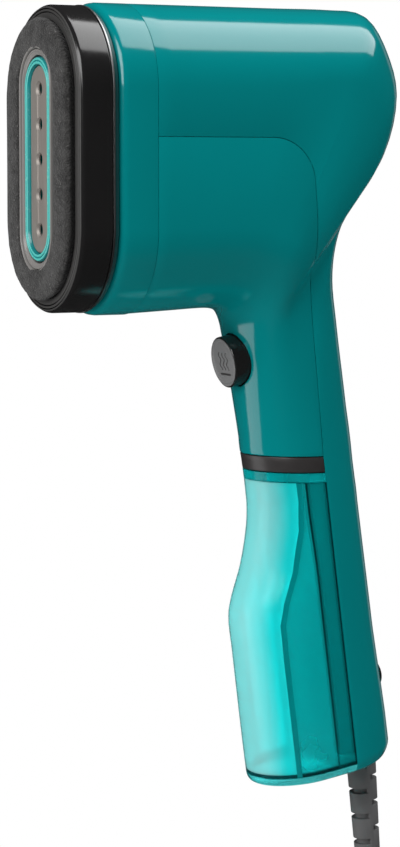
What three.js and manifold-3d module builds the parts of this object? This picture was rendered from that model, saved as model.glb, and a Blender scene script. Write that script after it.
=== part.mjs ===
// A hand-held garment steamer: a stadium-shaped head with a fabric pad round its steam plate, and a round
// handle under the head with a trigger, a clear water tank on its front and an opaque spine behind it.
// Millimetres. X is across, -Y is where the steam goes, +Z is up. The origin is the middle of the grip,
// on the handle's axis, and the handle leans back as it goes down.
import * as THREE from "three";
import { mergeVertices } from "three/addons/utils/BufferGeometryUtils.js";
import Module from "manifold-3d";

const wasm = await Module();
wasm.setup();

// ---------------------------------------------------------------- driving dimensions
const GAP = 0.3; // between pieces that touch
const WALL = 2.2; // of the moulded housings
const LEAN = THREE.MathUtils.degToRad(8.2); // of the handle
const SLOPE = Math.tan(LEAN);

// The head. Its pieces are placed from the head's axis, at the front edge of the pad's frame.
const HEAD_FRONT = -91.3; // y of that edge
const HEAD_AXIS = 85; // z of the head's axis
const HEAD_WIDTH = 57.9;
const HEAD_HEIGHT = 102.1;
const RING_FRONT = 14.1; // the front ring of the housing, behind the head's front edge
const RING_BACK = 27;

// The pad and its frame
const FRAME_WIDTH = 57.7;
const FRAME_HEIGHT = 100;
const FRAME_DEPTH = 11.2;
const FRAME_RIM = 4.7; // from the frame's outside to the pad's edge
const PAD_PROUD = 3.9;
const PAD_SEAT = 5; // depth of the frame's floor behind its front edge
const LIP_WIDTH = 26; // of the grey lip round the nozzle
const LIP_HEIGHT = 73.5;

// The nozzle and its plate
const NOZZLE_WIDTH = 20.85;
const NOZZLE_HEIGHT = 66.4;
const NOZZLE_PROUD = 2.8;
const PLATE_WIDTH = 14.2;
const PLATE_HEIGHT = 60.6;
const STEAM_HOLES = 5;
const STEAM_HOLE_SPACING = 11.4;
const STEAM_HOLE_RADIUS = 1.7;

// The handle
const HANDLE_RADIUS = 19.15;
const BAND_TOP = -14.6; // z of the black band's upper face
const BAND_BOTTOM = -20.1;
const BASE_MIDDLE = -125.8; // z of the sloping base, where y is BASE_MIDDLE_Y
const BASE_MIDDLE_Y = 11;
const BASE_SLOPE = Math.tan(THREE.MathUtils.degToRad(8.6));
const SEAM_HEIGHT = 92.2; // z of the seam along the head's sides
const SEAM_RADIUS = 15.5; // where that seam turns down
const SPINE_TOP_Y = 2.3; // y of the spine's front face at the band
const SPINE_BASE_Y = 17.3; // and at its foot, at z = SPINE_BASE_Z
const SPINE_BASE_Z = -130;

// The tank
const TANK_WALL = 1.8;
const TANK_FLOOR = 3;
const TANK_FLANGE = 7; // depth of the thick rear edge that slides on the spine
const TANK_WELD = 9.4; // the weld between the front and rear mouldings, behind the front

// The trigger and the power button
const TRIGGER = { y: -26, z: 16.8, radius: 8.8, length: 12, tilt: THREE.MathUtils.degToRad(10.9) };
const POWER = { z: -94.7, radius: 4.9, proud: 1.3, length: 6 };

// The mains lead, its hank and its plug
const CORD_DIAMETER = 6.5;
const RELIEF_TOP = [28.2, -119.5];
const RELIEF_FOOT = [31.6, -159];
const HANK_TOP = -178;
const HANK_RUN = 107; // straight part of its turns
const HANK_OUTER = 31; // half width of the hank
const HANK_THICKNESS = 20.8;
const HANK_Y = 37.2;

// ---------------------------------------------------------------- colours
const finish = (color, roughness, metalness = 0) =>
  new THREE.MeshStandardMaterial({ color, roughness, metalness });
const glossyTeal = finish(0x007878, 0.22);
const clearTeal = new THREE.MeshStandardMaterial({
  color: 0x2fd0cc,
  roughness: 0.08,
  transparent: true,
  opacity: 0.45,
});
const glossyBlack = finish(0x1c1c1c, 0.18);
const satinBlack = finish(0x2a2828, 0.4);
const greyPlastic = finish(0x7c7876, 0.4);
const padFabric = finish(0x4b4a4a, 0.95);
const bronzeMetal = finish(0x8f857c, 0.35, 0.9);
const aluminium = finish(0xb9bcc0, 0.45, 0.9);
const steel = finish(0xa9adb0, 0.3, 1);
const brass = finish(0xb9974b, 0.35, 1);
const silicone = finish(0xd8d2c8, 0.6);
const rubber = finish(0x2f2f30, 0.75);
const innerPlastic = finish(0xd9dad6, 0.5);
const copperCoil = finish(0xa86a3a, 0.5, 0.6);
const boardGreen = finish(0x1f5a3a, 0.5);

// ---------------------------------------------------------------- solids from three.js geometry
const AXIS_X = new THREE.Vector3(1, 0, 0);
const AXIS_Y = new THREE.Vector3(0, 1, 0);
const AXIS_Z = new THREE.Vector3(0, 0, 1);

// A closed geometry as a solid that can be joined and cut.
function solid(geometry) {
  const bare = geometry.clone();
  bare.deleteAttribute("normal");
  bare.deleteAttribute("uv");
  const merged = mergeVertices(bare, 1e-4);
  return new wasm.Manifold(
    new wasm.Mesh({
      numProp: 3,
      vertProperties: merged.attributes.position.array,
      triVerts: new Uint32Array(merged.index.array),
    }),
  );
}

function geometryOf(body) {
  const mesh = body.getMesh();
  const geometry = new THREE.BufferGeometry();
  geometry.setAttribute("position", new THREE.BufferAttribute(mesh.vertProperties, 3));
  geometry.setIndex(new THREE.BufferAttribute(mesh.triVerts, 1));
  const flat = geometry.toNonIndexed();
  flat.computeVertexNormals();
  return flat;
}

const steamer = new THREE.Group();

function add(name, body, material, group = steamer) {
  const mesh = new THREE.Mesh(geometryOf(body), material);
  mesh.name = name;
  group.add(mesh);
}

// An outline drawn in the plane across the head's axis (x, z), from y = front to y = back.
function alongY(shape, front, back, curveSegments = 11) {
  const geometry = new THREE.ExtrudeGeometry(shape, {
    depth: back - front,
    bevelEnabled: false,
    curveSegments,
  });
  return solid(geometry.rotateX(Math.PI / 2).translate(0, back, 0));
}

// An outline drawn from the side (y, z), as wide as width across the middle plane.
function acrossX(shape, width, curveSegments = 10, middle = 0) {
  const geometry = new THREE.ExtrudeGeometry(shape, { depth: width, bevelEnabled: false, curveSegments });
  const turn = new THREE.Matrix4().makeBasis(AXIS_Y, AXIS_Z, AXIS_X);
  return solid(geometry.applyMatrix4(turn).translate(middle - width / 2, 0, 0));
}

function box(x, y, z, width, depth, height) {
  return solid(new THREE.BoxGeometry(width, depth, height).translate(x, y, z));
}

// A round bar between two points.
function rod(from, to, radius, endRadius = radius, sides = 16) {
  const start = new THREE.Vector3(...from);
  const way = new THREE.Vector3(...to).sub(start);
  const length = way.length();
  const geometry = new THREE.CylinderGeometry(endRadius, radius, length, sides);
  geometry.translate(0, length / 2, 0);
  geometry.applyQuaternion(new THREE.Quaternion().setFromUnitVectors(AXIS_Y, way.normalize()));
  return solid(geometry.translate(start.x, start.y, start.z));
}

function tube(from, to, radius, bore, sides = 16) {
  const start = new THREE.Vector3(...from);
  const end = new THREE.Vector3(...to);
  const past = end.clone().sub(start).normalize();
  const hole = rod(start.clone().sub(past).toArray(), end.clone().add(past).toArray(), bore, bore, sides);
  return rod(from, to, radius, radius, sides).subtract(hole);
}

// A bar or hose of constant round section along a smooth curve through the points.
function bentTube(points, radius, steps, sides = 8) {
  const path = new THREE.CatmullRomCurve3(points.map((p) => new THREE.Vector3(...p)));
  const section = new THREE.Shape();
  for (let i = 0; i < sides; i++) {
    const angle = (i / sides) * 2 * Math.PI;
    const corner = [radius * Math.cos(angle), radius * Math.sin(angle)];
    if (i === 0) section.moveTo(...corner);
    else section.lineTo(...corner);
  }
  return solid(new THREE.ExtrudeGeometry(section, { extrudePath: path, steps, bevelEnabled: false }));
}

// Two half circles joined by straight sides: the outline of everything on the front of the head.
function stadium(width, height) {
  const radius = width / 2;
  const straight = height / 2 - radius;
  const shape = new THREE.Shape();
  shape.absarc(0, straight, radius, 0, Math.PI);
  shape.absarc(0, -straight, radius, Math.PI, 2 * Math.PI);
  shape.closePath();
  return shape;
}

function stadiumRing(width, height, wall, front, back) {
  const inner = alongY(stadium(width - 2 * wall, height - 2 * wall), front - 1, back + 1);
  return alongY(stadium(width, height), front, back).subtract(inner);
}

// ---------------------------------------------------------------- the housing's outer form
// The form is a row of stadium sections. Each runs from the under or front line of the steamer to its top
// or back line, and they fan round the corner between the head and the handle.
const handleFront = (z) => -HANDLE_RADIUS - SLOPE * z;
const handleBack = (z) => HANDLE_RADIUS - SLOPE * z;
const baseAt = (y) => BASE_MIDDLE + BASE_SLOPE * (y - BASE_MIDDLE_Y);
const HEAD_TOP = HEAD_AXIS + HEAD_HEIGHT / 2;
const HEAD_UNDER = HEAD_AXIS - HEAD_HEIGHT / 2;
const HEAD_HALF = HEAD_WIDTH / 2;
const BODY_FRONT = HEAD_FRONT + RING_BACK + GAP;

const HEAD_SECTIONS = [
  { low: [BODY_FRONT, HEAD_UNDER + 0.2], high: [BODY_FRONT, HEAD_TOP], half: HEAD_HALF },
  { low: [-48, HEAD_UNDER + 1], high: [-38, HEAD_TOP], half: HEAD_HALF },
  { low: [-36, HEAD_UNDER + 1.6], high: [-8, HEAD_TOP], half: HEAD_HALF },
  { low: [-31.3, HEAD_UNDER + 1.4], high: [14, HEAD_TOP], half: HEAD_HALF },
  { low: [-28.2, HEAD_UNDER + 0.6], high: [24, HEAD_TOP - 1.2], half: HEAD_HALF },
  { low: [-26.1, HEAD_UNDER - 0.8], high: [30.6, 125.8], half: 28.5 },
  { low: [-24.6, HEAD_UNDER - 3], high: [34.8, 113.5], half: 27 },
  { low: [-23.5, HEAD_UNDER - 6.6], high: [32.4, 98.5], half: 24.4 },
  { low: [-22.8, 23], high: [23.6, 86], half: 21.8 },
  { low: [-22, 18], high: [16.7, 74.5], half: 20.1 },
  { low: [handleFront(13), 13], high: [13, 62], half: 19.4 },
  { low: [handleFront(8), 8], high: [12.1, 48.5], half: 19.1 },
  { low: [handleFront(2), 2], high: [14.1, 33], half: HANDLE_RADIUS },
  { low: [handleFront(-8), -8], high: [handleBack(8), 8], half: HANDLE_RADIUS },
];
// The front of the tank: it follows the handle, swells forward under the fingers and runs down straight.
const FOOT_FRONT = -14.6;
const FOOT_BACK = 36.8;
const footSection = (frontIn, frontUp, backIn, backUp, half) => ({
  low: [FOOT_FRONT + frontIn, baseAt(FOOT_FRONT) + frontUp],
  high: [FOOT_BACK - backIn, baseAt(FOOT_BACK) + backUp],
  half,
});
const TANK_SECTIONS = [
  { low: [handleFront(-17), -17], high: [handleBack(-17), -17], half: HANDLE_RADIUS },
  { low: [-14.8, -30], high: [handleBack(-29), -29], half: HANDLE_RADIUS },
  { low: [-14.7, -40], high: [handleBack(-38), -38], half: HANDLE_RADIUS },
  { low: [-17, -54], high: [handleBack(-50), -50], half: HANDLE_RADIUS },
  { low: [-20.4, -65], high: [handleBack(-60), -60], half: HANDLE_RADIUS },
  { low: [-21.6, -72], high: [handleBack(-67), -67], half: HANDLE_RADIUS },
  { low: [-20.3, -83], high: [handleBack(-77), -77], half: HANDLE_RADIUS },
  footSection(0, 3, 0.2, 6, HANDLE_RADIUS),
  footSection(1, 0.7, 1.5, 1.8, 18.5),
  footSection(3, 3 * BASE_SLOPE, 3.8, -3.8 * BASE_SLOPE, 16.5),
];
const SECTIONS = [...HEAD_SECTIONS, ...TANK_SECTIONS];

// The section's outline, drawn in by inset, as one ring of points.
function ring({ low, high, half }, inset, points) {
  const bottom = new THREE.Vector2(...low);
  const along = new THREE.Vector2(...high).sub(bottom);
  const reach = along.length() / 2 - inset;
  const middle = along.clone().multiplyScalar(0.5).add(bottom);
  along.normalize();
  const radius = half - inset;
  const straight = Math.max(reach - radius, 0);
  const out = [];
  for (let i = 0; i < points; i++) {
    const angle = ((i + 0.5) / points) * 2 * Math.PI;
    const up = Math.cos(angle) * (reach - straight) + Math.sign(Math.cos(angle)) * straight;
    out.push(
      new THREE.Vector3(Math.sin(angle) * radius, middle.x + along.x * up, middle.y + along.y * up),
    );
  }
  return out;
}

// A closed skin through the rings, with a flat cap at each end.
function loft(rings) {
  const count = rings[0].length;
  const middle = (points) =>
    points.reduce((sum, p) => sum.add(p), new THREE.Vector3()).multiplyScalar(1 / points.length);
  const corners = [];
  const face = (...points) => points.forEach((p) => corners.push(p.x, p.y, p.z));
  const first = middle(rings[0]);
  const last = middle(rings.at(-1));
  for (let i = 0; i < count; i++) {
    const next = (i + 1) % count;
    face(first, rings[0][next], rings[0][i]);
    face(last, rings.at(-1)[i], rings.at(-1)[next]);
    for (let k = 0; k + 1 < rings.length; k++) {
      face(rings[k][i], rings[k][next], rings[k + 1][next]);
      face(rings[k][i], rings[k + 1][next], rings[k + 1][i]);
    }
  }
  const geometry = new THREE.BufferGeometry();
  geometry.setAttribute("position", new THREE.BufferAttribute(new Float32Array(corners), 3));
  return solid(geometry);
}

const OUTER_POINTS = 28;
const INNER_POINTS = 20;
const FAR = 220; // past the whole object
const outerForm = loft(SECTIONS.map((s) => ring(s, 0, OUTER_POINTS)));
const mouth = { low: [BODY_FRONT - 1, HEAD_UNDER], high: [BODY_FRONT - 1, HEAD_TOP], half: HEAD_HALF };
const innerForm = loft([mouth, ...SECTIONS].map((s) => ring(s, WALL, INNER_POINTS)));

// A side outline through corners, as a solid across the whole width.
function sideCut(corners, cutWidth = 80) {
  return acrossX(new THREE.Shape(corners.map(([y, z]) => new THREE.Vector2(y, z))), cutWidth);
}

// The spine's front face, and the line of the seam above it along the side of the handle and head.
const spineSlope = (SPINE_BASE_Y - SPINE_TOP_Y) / (SPINE_BASE_Z - BAND_TOP);
const spineFace = (z) => SPINE_TOP_Y + spineSlope * (z - BAND_TOP);
const SEAM_TURN_Y = -22;

function frontOfSeam(shift) {
  const shape = new THREE.Shape();
  shape.moveTo(-FAR, SEAM_HEIGHT + shift);
  shape.lineTo(SEAM_TURN_Y + shift, SEAM_HEIGHT + shift);
  shape.absarc(SEAM_TURN_Y + shift, SEAM_HEIGHT + shift - SEAM_RADIUS, SEAM_RADIUS, Math.PI / 2, 0, true);
  shape.lineTo(SPINE_TOP_Y + shift, BAND_TOP);
  shape.lineTo(spineFace(-FAR) + shift, -FAR);
  shape.lineTo(-FAR, -FAR);
  shape.closePath();
  return acrossX(shape, 80, 8);
}

// ---------------------------------------------------------------- the housing shells
// The back shell is the roof of the head and the spine. The front shell is the rest of the head and the
// front of the grip. Both are hollow, and the spine has a front wall and a foot.
const footFront = spineFace(-115) + GAP + WALL;
const room = sideCut([
  [-FAR, FAR],
  [FAR, FAR],
  [FAR, baseAt(FAR) + WALL],
  [footFront, baseAt(footFront) + WALL],
  [SPINE_TOP_Y + GAP + WALL, BAND_TOP - WALL],
  [SPINE_TOP_Y + GAP + WALL, BAND_TOP],
  [-FAR, BAND_TOP],
]);
const cavity = innerForm.intersect(room);
const housing = outerForm.subtract(cavity);

const triggerWay = new THREE.Vector3(0, Math.cos(TRIGGER.tilt), Math.sin(TRIGGER.tilt));
const triggerAt = (depth) =>
  new THREE.Vector3(0, TRIGGER.y, TRIGGER.z).addScaledVector(triggerWay, depth).toArray();
const triggerHole = rod(triggerAt(-4), triggerAt(TRIGGER.length), TRIGGER.radius + 0.4, undefined, 24);

const powerOut = new THREE.Vector3(0, Math.cos(LEAN), Math.sin(LEAN));
const powerAt = (height) =>
  new THREE.Vector3(0, handleBack(POWER.z), POWER.z).addScaledVector(powerOut, height).toArray();
const powerHole = rod(powerAt(-6), powerAt(4), POWER.radius + 0.4, undefined, 24);

const reliefTop = [0, ...RELIEF_TOP];
const reliefFoot = [0, ...RELIEF_FOOT];
const RELIEF_RADIUS = 5.2;
const reliefWay = new THREE.Vector3(...reliefFoot).sub(new THREE.Vector3(...reliefTop)).normalize();
const alongRelief = (depth) =>
  new THREE.Vector3(...reliefTop).addScaledVector(reliefWay, depth).toArray();
const reliefHole = rod(alongRelief(-2), alongRelief(12), RELIEF_RADIUS + 0.4);

const aboveBand = sideCut([
  [-FAR, FAR],
  [-FAR, BAND_TOP],
  [FAR, BAND_TOP],
  [FAR, FAR],
]);
const frontShell = housing.intersect(frontOfSeam(0)).intersect(aboveBand).subtract(triggerHole);
add("front_shell", frontShell, glossyTeal);

// The tongue on the spine's front, which the tank's hollow back slides down.
const tankTop = BAND_BOTTOM - GAP;
const alongSpine = (from, to, top, foot) =>
  sideCut([
    [spineFace(top) + from, top],
    [spineFace(foot) + from, foot],
    [spineFace(foot) + to, foot],
    [spineFace(top) + to, top],
  ]);
const TONGUE_FOOT = -118;
const tankForm = (inset) => loft(TANK_SECTIONS.map((s) => ring(s, inset, INNER_POINTS)));
const tongueFace = TANK_WALL + GAP - TANK_FLANGE;
const tongue = tankForm(TANK_WALL + GAP).intersect(alongSpine(tongueFace, WALL, tankTop, TONGUE_FOOT));
const tongueRoom = tankForm(TANK_WALL + GAP + WALL).intersect(
  alongSpine(tongueFace + WALL, GAP + 2 * WALL, tankTop - WALL, TONGUE_FOOT + WALL),
);
const backShell = housing
  .subtract(frontOfSeam(GAP))
  .add(tongue)
  .subtract(tongueRoom)
  .subtract(powerHole)
  .subtract(reliefHole);
add("back_shell", backShell, glossyTeal);

// ---------------------------------------------------------------- the black band and the tank's socket
const SOCKET = { x: -6.5, y: -7.8, radius: 3.8 };
const FILLER = { x: 6.5, y: -8.2, radius: 3.1 };
const ahead = frontOfSeam(0);
const slab = (top, bottom) =>
  sideCut([
    [-FAR, bottom],
    [FAR, bottom],
    [FAR, top],
    [-FAR, top],
  ]);
const post = (place, top, bottom, radius, sides = 16) =>
  rod([place.x, place.y, bottom], [place.x, place.y, top], radius, radius, sides);

const band = outerForm.intersect(ahead).intersect(slab(BAND_TOP - GAP, BAND_BOTTOM));
add("handle_band", band.subtract(post(SOCKET, 0, -30, SOCKET.radius + 0.3)), satinBlack);
const PROBE_RADIUS = 2.3;
const PROBE_FOOT = BAND_BOTTOM - 6;
const socket = post(SOCKET, BAND_TOP + 5, BAND_BOTTOM + 0.4, SOCKET.radius)
  .add(post(SOCKET, BAND_BOTTOM + 2, PROBE_FOOT, PROBE_RADIUS))
  .subtract(post(SOCKET, BAND_TOP + 6, PROBE_FOOT - 1, 1.3, 12));
add("tank_socket", socket, innerPlastic);

// ---------------------------------------------------------------- the water tank
const TANK_ROOF = 3;
const tankBlock = outerForm.intersect(ahead).intersect(slab(tankTop, -FAR));
const roofLine = tankTop - TANK_ROOF;
const belowFloor = (lift) =>
  sideCut([
    [-FAR, baseAt(-FAR) + TANK_FLOOR + lift],
    [-FAR, -2 * FAR],
    [FAR, -2 * FAR],
    [FAR, baseAt(FAR) + TANK_FLOOR + lift],
  ]);
const tankWalls = tankBlock.intersect(slab(roofLine - GAP, -FAR)).subtract(belowFloor(GAP));
// The hollow that holds the water stops ahead of the channel for the spine's tongue.
const tankInside = tankForm(TANK_WALL);
const waterSpace = tankInside.intersect(alongSpine(-FAR, -TANK_FLANGE, 0, -FAR));
const channel = tankInside.intersect(alongSpine(TANK_WALL - TANK_FLANGE, FAR, 0, TONGUE_FOOT - GAP));
const weldLine = TANK_SECTIONS.map(({ low: [y, z] }) => [Math.min(y, FOOT_FRONT) + TANK_WELD, z]);
const aheadOfWeld = (shift) =>
  sideCut([
    [-FAR, 0],
    [weldLine[0][0] + shift, 0],
    ...weldLine.slice(0, -1).map(([y, z]) => [y + shift, z]),
    [weldLine.at(-1)[0] + shift, -FAR],
    [-FAR, -FAR],
  ]);
const tankShell = tankWalls.subtract(waterSpace).subtract(channel);
add("tank_front", tankShell.intersect(aheadOfWeld(0)), clearTeal);
add("tank_rear", tankShell.subtract(aheadOfWeld(GAP)), clearTeal);
add("tank_floor", tankBlock.intersect(belowFloor(0)), clearTeal);
const outletHole = post(SOCKET, 0, -40, 3.9);
const fillerHole = post(FILLER, 0, -40, FILLER.radius + 0.3);
const roof = tankBlock
  .intersect(slab(tankTop, roofLine))
  .subtract(channel)
  .subtract(outletHole)
  .subtract(fillerHole);
add("tank_roof", roof, clearTeal);
const SEAL_FOOT = roofLine - 3.5;
const seal = post(SOCKET, tankTop - 0.2, SEAL_FOOT, 3.6).subtract(post(SOCKET, 0, -40, PROBE_RADIUS + 0.3));
add("outlet_seal", seal, silicone);
add("filler_stopper", post(FILLER, tankTop - 0.2, roofLine - 2, FILLER.radius), rubber);
const pickupTop = [SOCKET.x, SOCKET.y, SEAL_FOOT - GAP];
const pickup = bentTube(
  [pickupTop, [-7, -7.5, -45], [-8, -6, -68], [-8, -3.5, -95], [-7, -2, -119]],
  1.8,
  14,
  8,
);
add("pickup_tube", pickup, clearTeal);

// ---------------------------------------------------------------- the front of the head
const head = new THREE.Group();
head.position.set(0, HEAD_FRONT, HEAD_AXIS);
steamer.add(head);
const headRod = (x, z, front, back, radius, sides = 16) =>
  rod([x, front, z], [x, back, z], radius, radius, sides);
const FRAME_OPEN_WIDTH = NOZZLE_WIDTH + 1;
const FRAME_OPEN_HEIGHT = NOZZLE_HEIGHT + 1;

// The pressed metal plate: a shallow slot with the steam holes in its floor.
let plate = alongY(stadium(PLATE_WIDTH, PLATE_HEIGHT), -1.9, -0.7, 10);
plate = plate.subtract(alongY(stadium(5, 52), -3, -1.5, 8));
for (let i = 0; i < STEAM_HOLES; i++) {
  const z = (i - (STEAM_HOLES - 1) / 2) * STEAM_HOLE_SPACING;
  plate = plate.subtract(headRod(0, z, -3, 0, STEAM_HOLE_RADIUS, 12));
}
add("steam_plate", plate, bronzeMetal, head);

const NOZZLE_BACK = 12;
const plateBay = stadium(PLATE_WIDTH + 0.6, PLATE_HEIGHT + 0.6);
const nozzle = alongY(stadium(NOZZLE_WIDTH, NOZZLE_HEIGHT), -NOZZLE_PROUD, NOZZLE_BACK);
add("nozzle_ring", nozzle.subtract(alongY(plateBay, -5, NOZZLE_BACK + 1, 10)), glossyTeal, head);
const manifold = alongY(stadium(PLATE_WIDTH, PLATE_HEIGHT), -0.4, RING_FRONT + 0.4, 10)
  .subtract(alongY(stadium(PLATE_WIDTH - 3.6, PLATE_HEIGHT - 3.6), -1, 11, 8))
  .subtract(headRod(0, 0, 10, 16, 4));
add("steam_manifold", manifold, innerPlastic, head);
const collarBack = RING_FRONT - GAP;
const collar = alongY(stadium(HEAD_WIDTH - 2.4, HEAD_HEIGHT - 3.5), collarBack - 1.4, collarBack);
add("collar", collar.subtract(alongY(plateBay, 0, 20, 10)), finish(0x0b5657, 0.4), head);
const ringFlange = stadiumRing(HEAD_WIDTH - 4, HEAD_HEIGHT - 4, 8, RING_FRONT, RING_FRONT + 2);
const ringWall = stadiumRing(HEAD_WIDTH, HEAD_HEIGHT, 2.6, RING_FRONT, RING_BACK);
add("front_ring", ringWall.add(ringFlange), glossyTeal, head);

// The pad: a fabric ring in a black tray, with a grey lip inside it. They pull off forward together.
const padOuter = stadium(FRAME_WIDTH - 2 * FRAME_RIM - 2 * GAP, FRAME_HEIGHT - 2 * FRAME_RIM - 2 * GAP);
const padHole = stadium(LIP_WIDTH + 2 * GAP, LIP_HEIGHT + 2 * GAP);
const pad = alongY(padOuter, -PAD_PROUD, PAD_SEAT - GAP).subtract(alongY(padHole, -10, 10));
add("fabric_pad", pad, padFabric, head);
const frameOpening = stadium(FRAME_OPEN_WIDTH, FRAME_OPEN_HEIGHT);
const lip = alongY(stadium(LIP_WIDTH, LIP_HEIGHT), GAP - PAD_PROUD, PAD_SEAT - GAP);
add("pad_lip", lip.subtract(alongY(frameOpening, -10, 10)), greyPlastic, head);
const FRAME_FLOOR = 2.6;
const tray = alongY(stadium(FRAME_WIDTH, FRAME_HEIGHT), 0, FRAME_DEPTH)
  .subtract(alongY(stadium(FRAME_WIDTH - 2 * FRAME_RIM, FRAME_HEIGHT - 2 * FRAME_RIM), -1, PAD_SEAT))
  .subtract(alongY(stadium(FRAME_WIDTH - 5, FRAME_HEIGHT - 5), PAD_SEAT + FRAME_FLOOR, FRAME_DEPTH + 1))
  .subtract(alongY(frameOpening, -1, FRAME_DEPTH + 1));
add("pad_frame", tray, glossyBlack, head);
const trimFront = FRAME_DEPTH + GAP;
add("frame_trim", stadiumRing(HEAD_WIDTH, FRAME_HEIGHT + 0.4, 3, trimFront, trimFront + 0.6), steel, head);

// ---------------------------------------------------------------- the boiler behind the nozzle
const BOILER_WIDTH = 42;
const BOILER_HEIGHT = 82;
const COVER_FRONT = 31.2;
const BOILER_FRONT = 35.4;
const BOILER_BACK = 51.4;
const INLET_Z = 35; // of the water inlet, above the head's axis
add("steam_duct", tube([0, RING_FRONT + 0.7, 0], [0, COVER_FRONT - GAP, 0], 6, 4), silicone, head);
const cover = alongY(stadium(BOILER_WIDTH, BOILER_HEIGHT), COVER_FRONT, COVER_FRONT + 2.4, 10)
  .add(headRod(0, 0, 22, COVER_FRONT + 0.5, 3.7))
  .subtract(headRod(0, 0, 20, COVER_FRONT + 4, 2.4, 12));
add("boiler_cover", cover, aluminium, head);
const gasketFront = COVER_FRONT + 2.4 + GAP;
add("boiler_gasket", stadiumRing(40, 80, 3.5, gasketFront, BOILER_FRONT - GAP), silicone, head);
const boiler = alongY(stadium(BOILER_WIDTH, BOILER_HEIGHT), BOILER_FRONT, BOILER_BACK, 10)
  .subtract(alongY(stadium(31, 71), BOILER_FRONT - 1, 45, 8))
  .add(box(0, 40.5, 0, 3, 10, 50))
  .subtract(headRod(0, INLET_Z - 8, 44, 52, 1.5, 10));
add("boiler_base", boiler, aluminium, head);
const ELEMENT_Y = BOILER_BACK + GAP + 3.6;
const elementPath = [
  [-9, ELEMENT_Y + 11, -27],
  [-9, ELEMENT_Y + 3, -25.5],
  [-9, ELEMENT_Y, -19],
  [-9, ELEMENT_Y, 0],
  [-9, ELEMENT_Y, 14],
  [-6, ELEMENT_Y, 20],
  [0, ELEMENT_Y, 22.5],
  [6, ELEMENT_Y, 20],
  [9, ELEMENT_Y, 14],
  [9, ELEMENT_Y, 0],
  [9, ELEMENT_Y, -19],
  [9, ELEMENT_Y + 3, -25.5],
  [9, ELEMENT_Y + 11, -27],
];
add("heating_element", bentTube(elementPath, 3.3, 36, 8), steel, head);
const clampFront = ELEMENT_Y + 3.3 + GAP;
const clampBar = box(0, clampFront + 0.75, 5, 28, 1.5, 7).subtract(headRod(0, 5, 50, 70, 2, 12));
add("element_clamp", clampBar, steel, head);
const clampScrew = headRod(0, 5, BOILER_BACK + GAP, clampFront + 2, 1.6, 10).add(
  headRod(0, 5, clampFront + 1.8, clampFront + 4, 3.2, 12),
);
add("clamp_screw", clampScrew, steel, head);
add("thermostat", headRod(0, -12, BOILER_BACK + GAP, BOILER_BACK + 6.5, 5.1), brass, head);
const fuseEnds = [-9, 9].map((x) => [x, BOILER_BACK + 3, -34]);
add("thermal_fuse", rod(...fuseEnds, 2, 2, 10), innerPlastic, head);
add("boiler_mount_upper", box(0, 43, 44.1, 16, 10, 5.4), innerPlastic, head);
add("boiler_mount_lower", box(0, 43, -43.4, 16, 10, 4), innerPlastic, head);

// ---------------------------------------------------------------- the pump and its hoses
const PUMP = { y: 3, z: 92, radius: 6, bore: 4.3, half: 22 };
const AROUND_PUMP = 30; // past the pump at both ends
const pumpRod = (from, to, radius, sides = 16) =>
  rod([0, PUMP.y, PUMP.z + from], [0, PUMP.y, PUMP.z + to], radius, radius, sides);
const pumpBore = pumpRod(-AROUND_PUMP, AROUND_PUMP, PUMP.bore);
add("pump_body", pumpRod(-PUMP.half, PUMP.half, PUMP.radius).subtract(pumpBore), innerPlastic);
const pumpSleeve = pumpRod(-AROUND_PUMP, AROUND_PUMP, PUMP.radius + GAP);
add("pump_coil", box(0, PUMP.y, PUMP.z, 24, 22, 24).subtract(pumpSleeve), copperCoil);
for (const [name, low] of [
  ["pump_mount_lower", -17.3],
  ["pump_mount_upper", 12.3],
]) {
  add(name, pumpRod(low, low + 5, 9).subtract(pumpSleeve), rubber);
}
add("pump_plunger", pumpRod(-12, 6, PUMP.bore - 0.3, 16), steel);

// A coil spring: a wire wound round a straight axis.
function spring(from, to, coilRadius, wire, turns) {
  const start = new THREE.Vector3(...from);
  const way = new THREE.Vector3(...to).sub(start);
  const turn = new THREE.Quaternion().setFromUnitVectors(AXIS_Z, way.clone().normalize());
  const STEPS = 7; // to a turn
  const points = [];
  for (let i = 0; i <= turns * STEPS; i++) {
    const angle = (i / STEPS) * 2 * Math.PI;
    const rise = (i / (turns * STEPS)) * way.length();
    const point = new THREE.Vector3(coilRadius * Math.cos(angle), coilRadius * Math.sin(angle), rise);
    points.push(point.applyQuaternion(turn).add(start).toArray());
  }
  return bentTube(points, wire, turns * STEPS, 4);
}
add("pump_spring", spring([0, PUMP.y, PUMP.z + 7.2], [0, PUMP.y, PUMP.z + 17], 3.2, 0.45, 4), steel);

const HOSE_RADIUS = 2.4;
const outletPath = [
  [0, PUMP.y, PUMP.z + PUMP.half + GAP],
  [0, PUMP.y - 1, PUMP.z + 28],
  [0, PUMP.y - 7, PUMP.z + 32.5],
  [0, -14, 124],
  [0, -26, 118],
  [0, -33, 115.5],
  [0, HEAD_FRONT + BOILER_BACK + GAP, HEAD_AXIS + INLET_Z - 5.5],
];
const inletPath = [
  [SOCKET.x, SOCKET.y, BAND_TOP + 5.4],
  [-6.4, -7, -5],
  [-5, -2.5, 1.5],
  [-3, 4.5, 8],
  [0, 8.8, 19],
  [0, 8.5, 29],
  [0, 7, 42],
  [0, PUMP.y + 1, 58],
  [0, PUMP.y, PUMP.z - PUMP.half - GAP],
];
add("outlet_hose", bentTube(outletPath, HOSE_RADIUS, 18), silicone);
add("inlet_hose", bentTube(inletPath, HOSE_RADIUS, 22), silicone);

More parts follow.
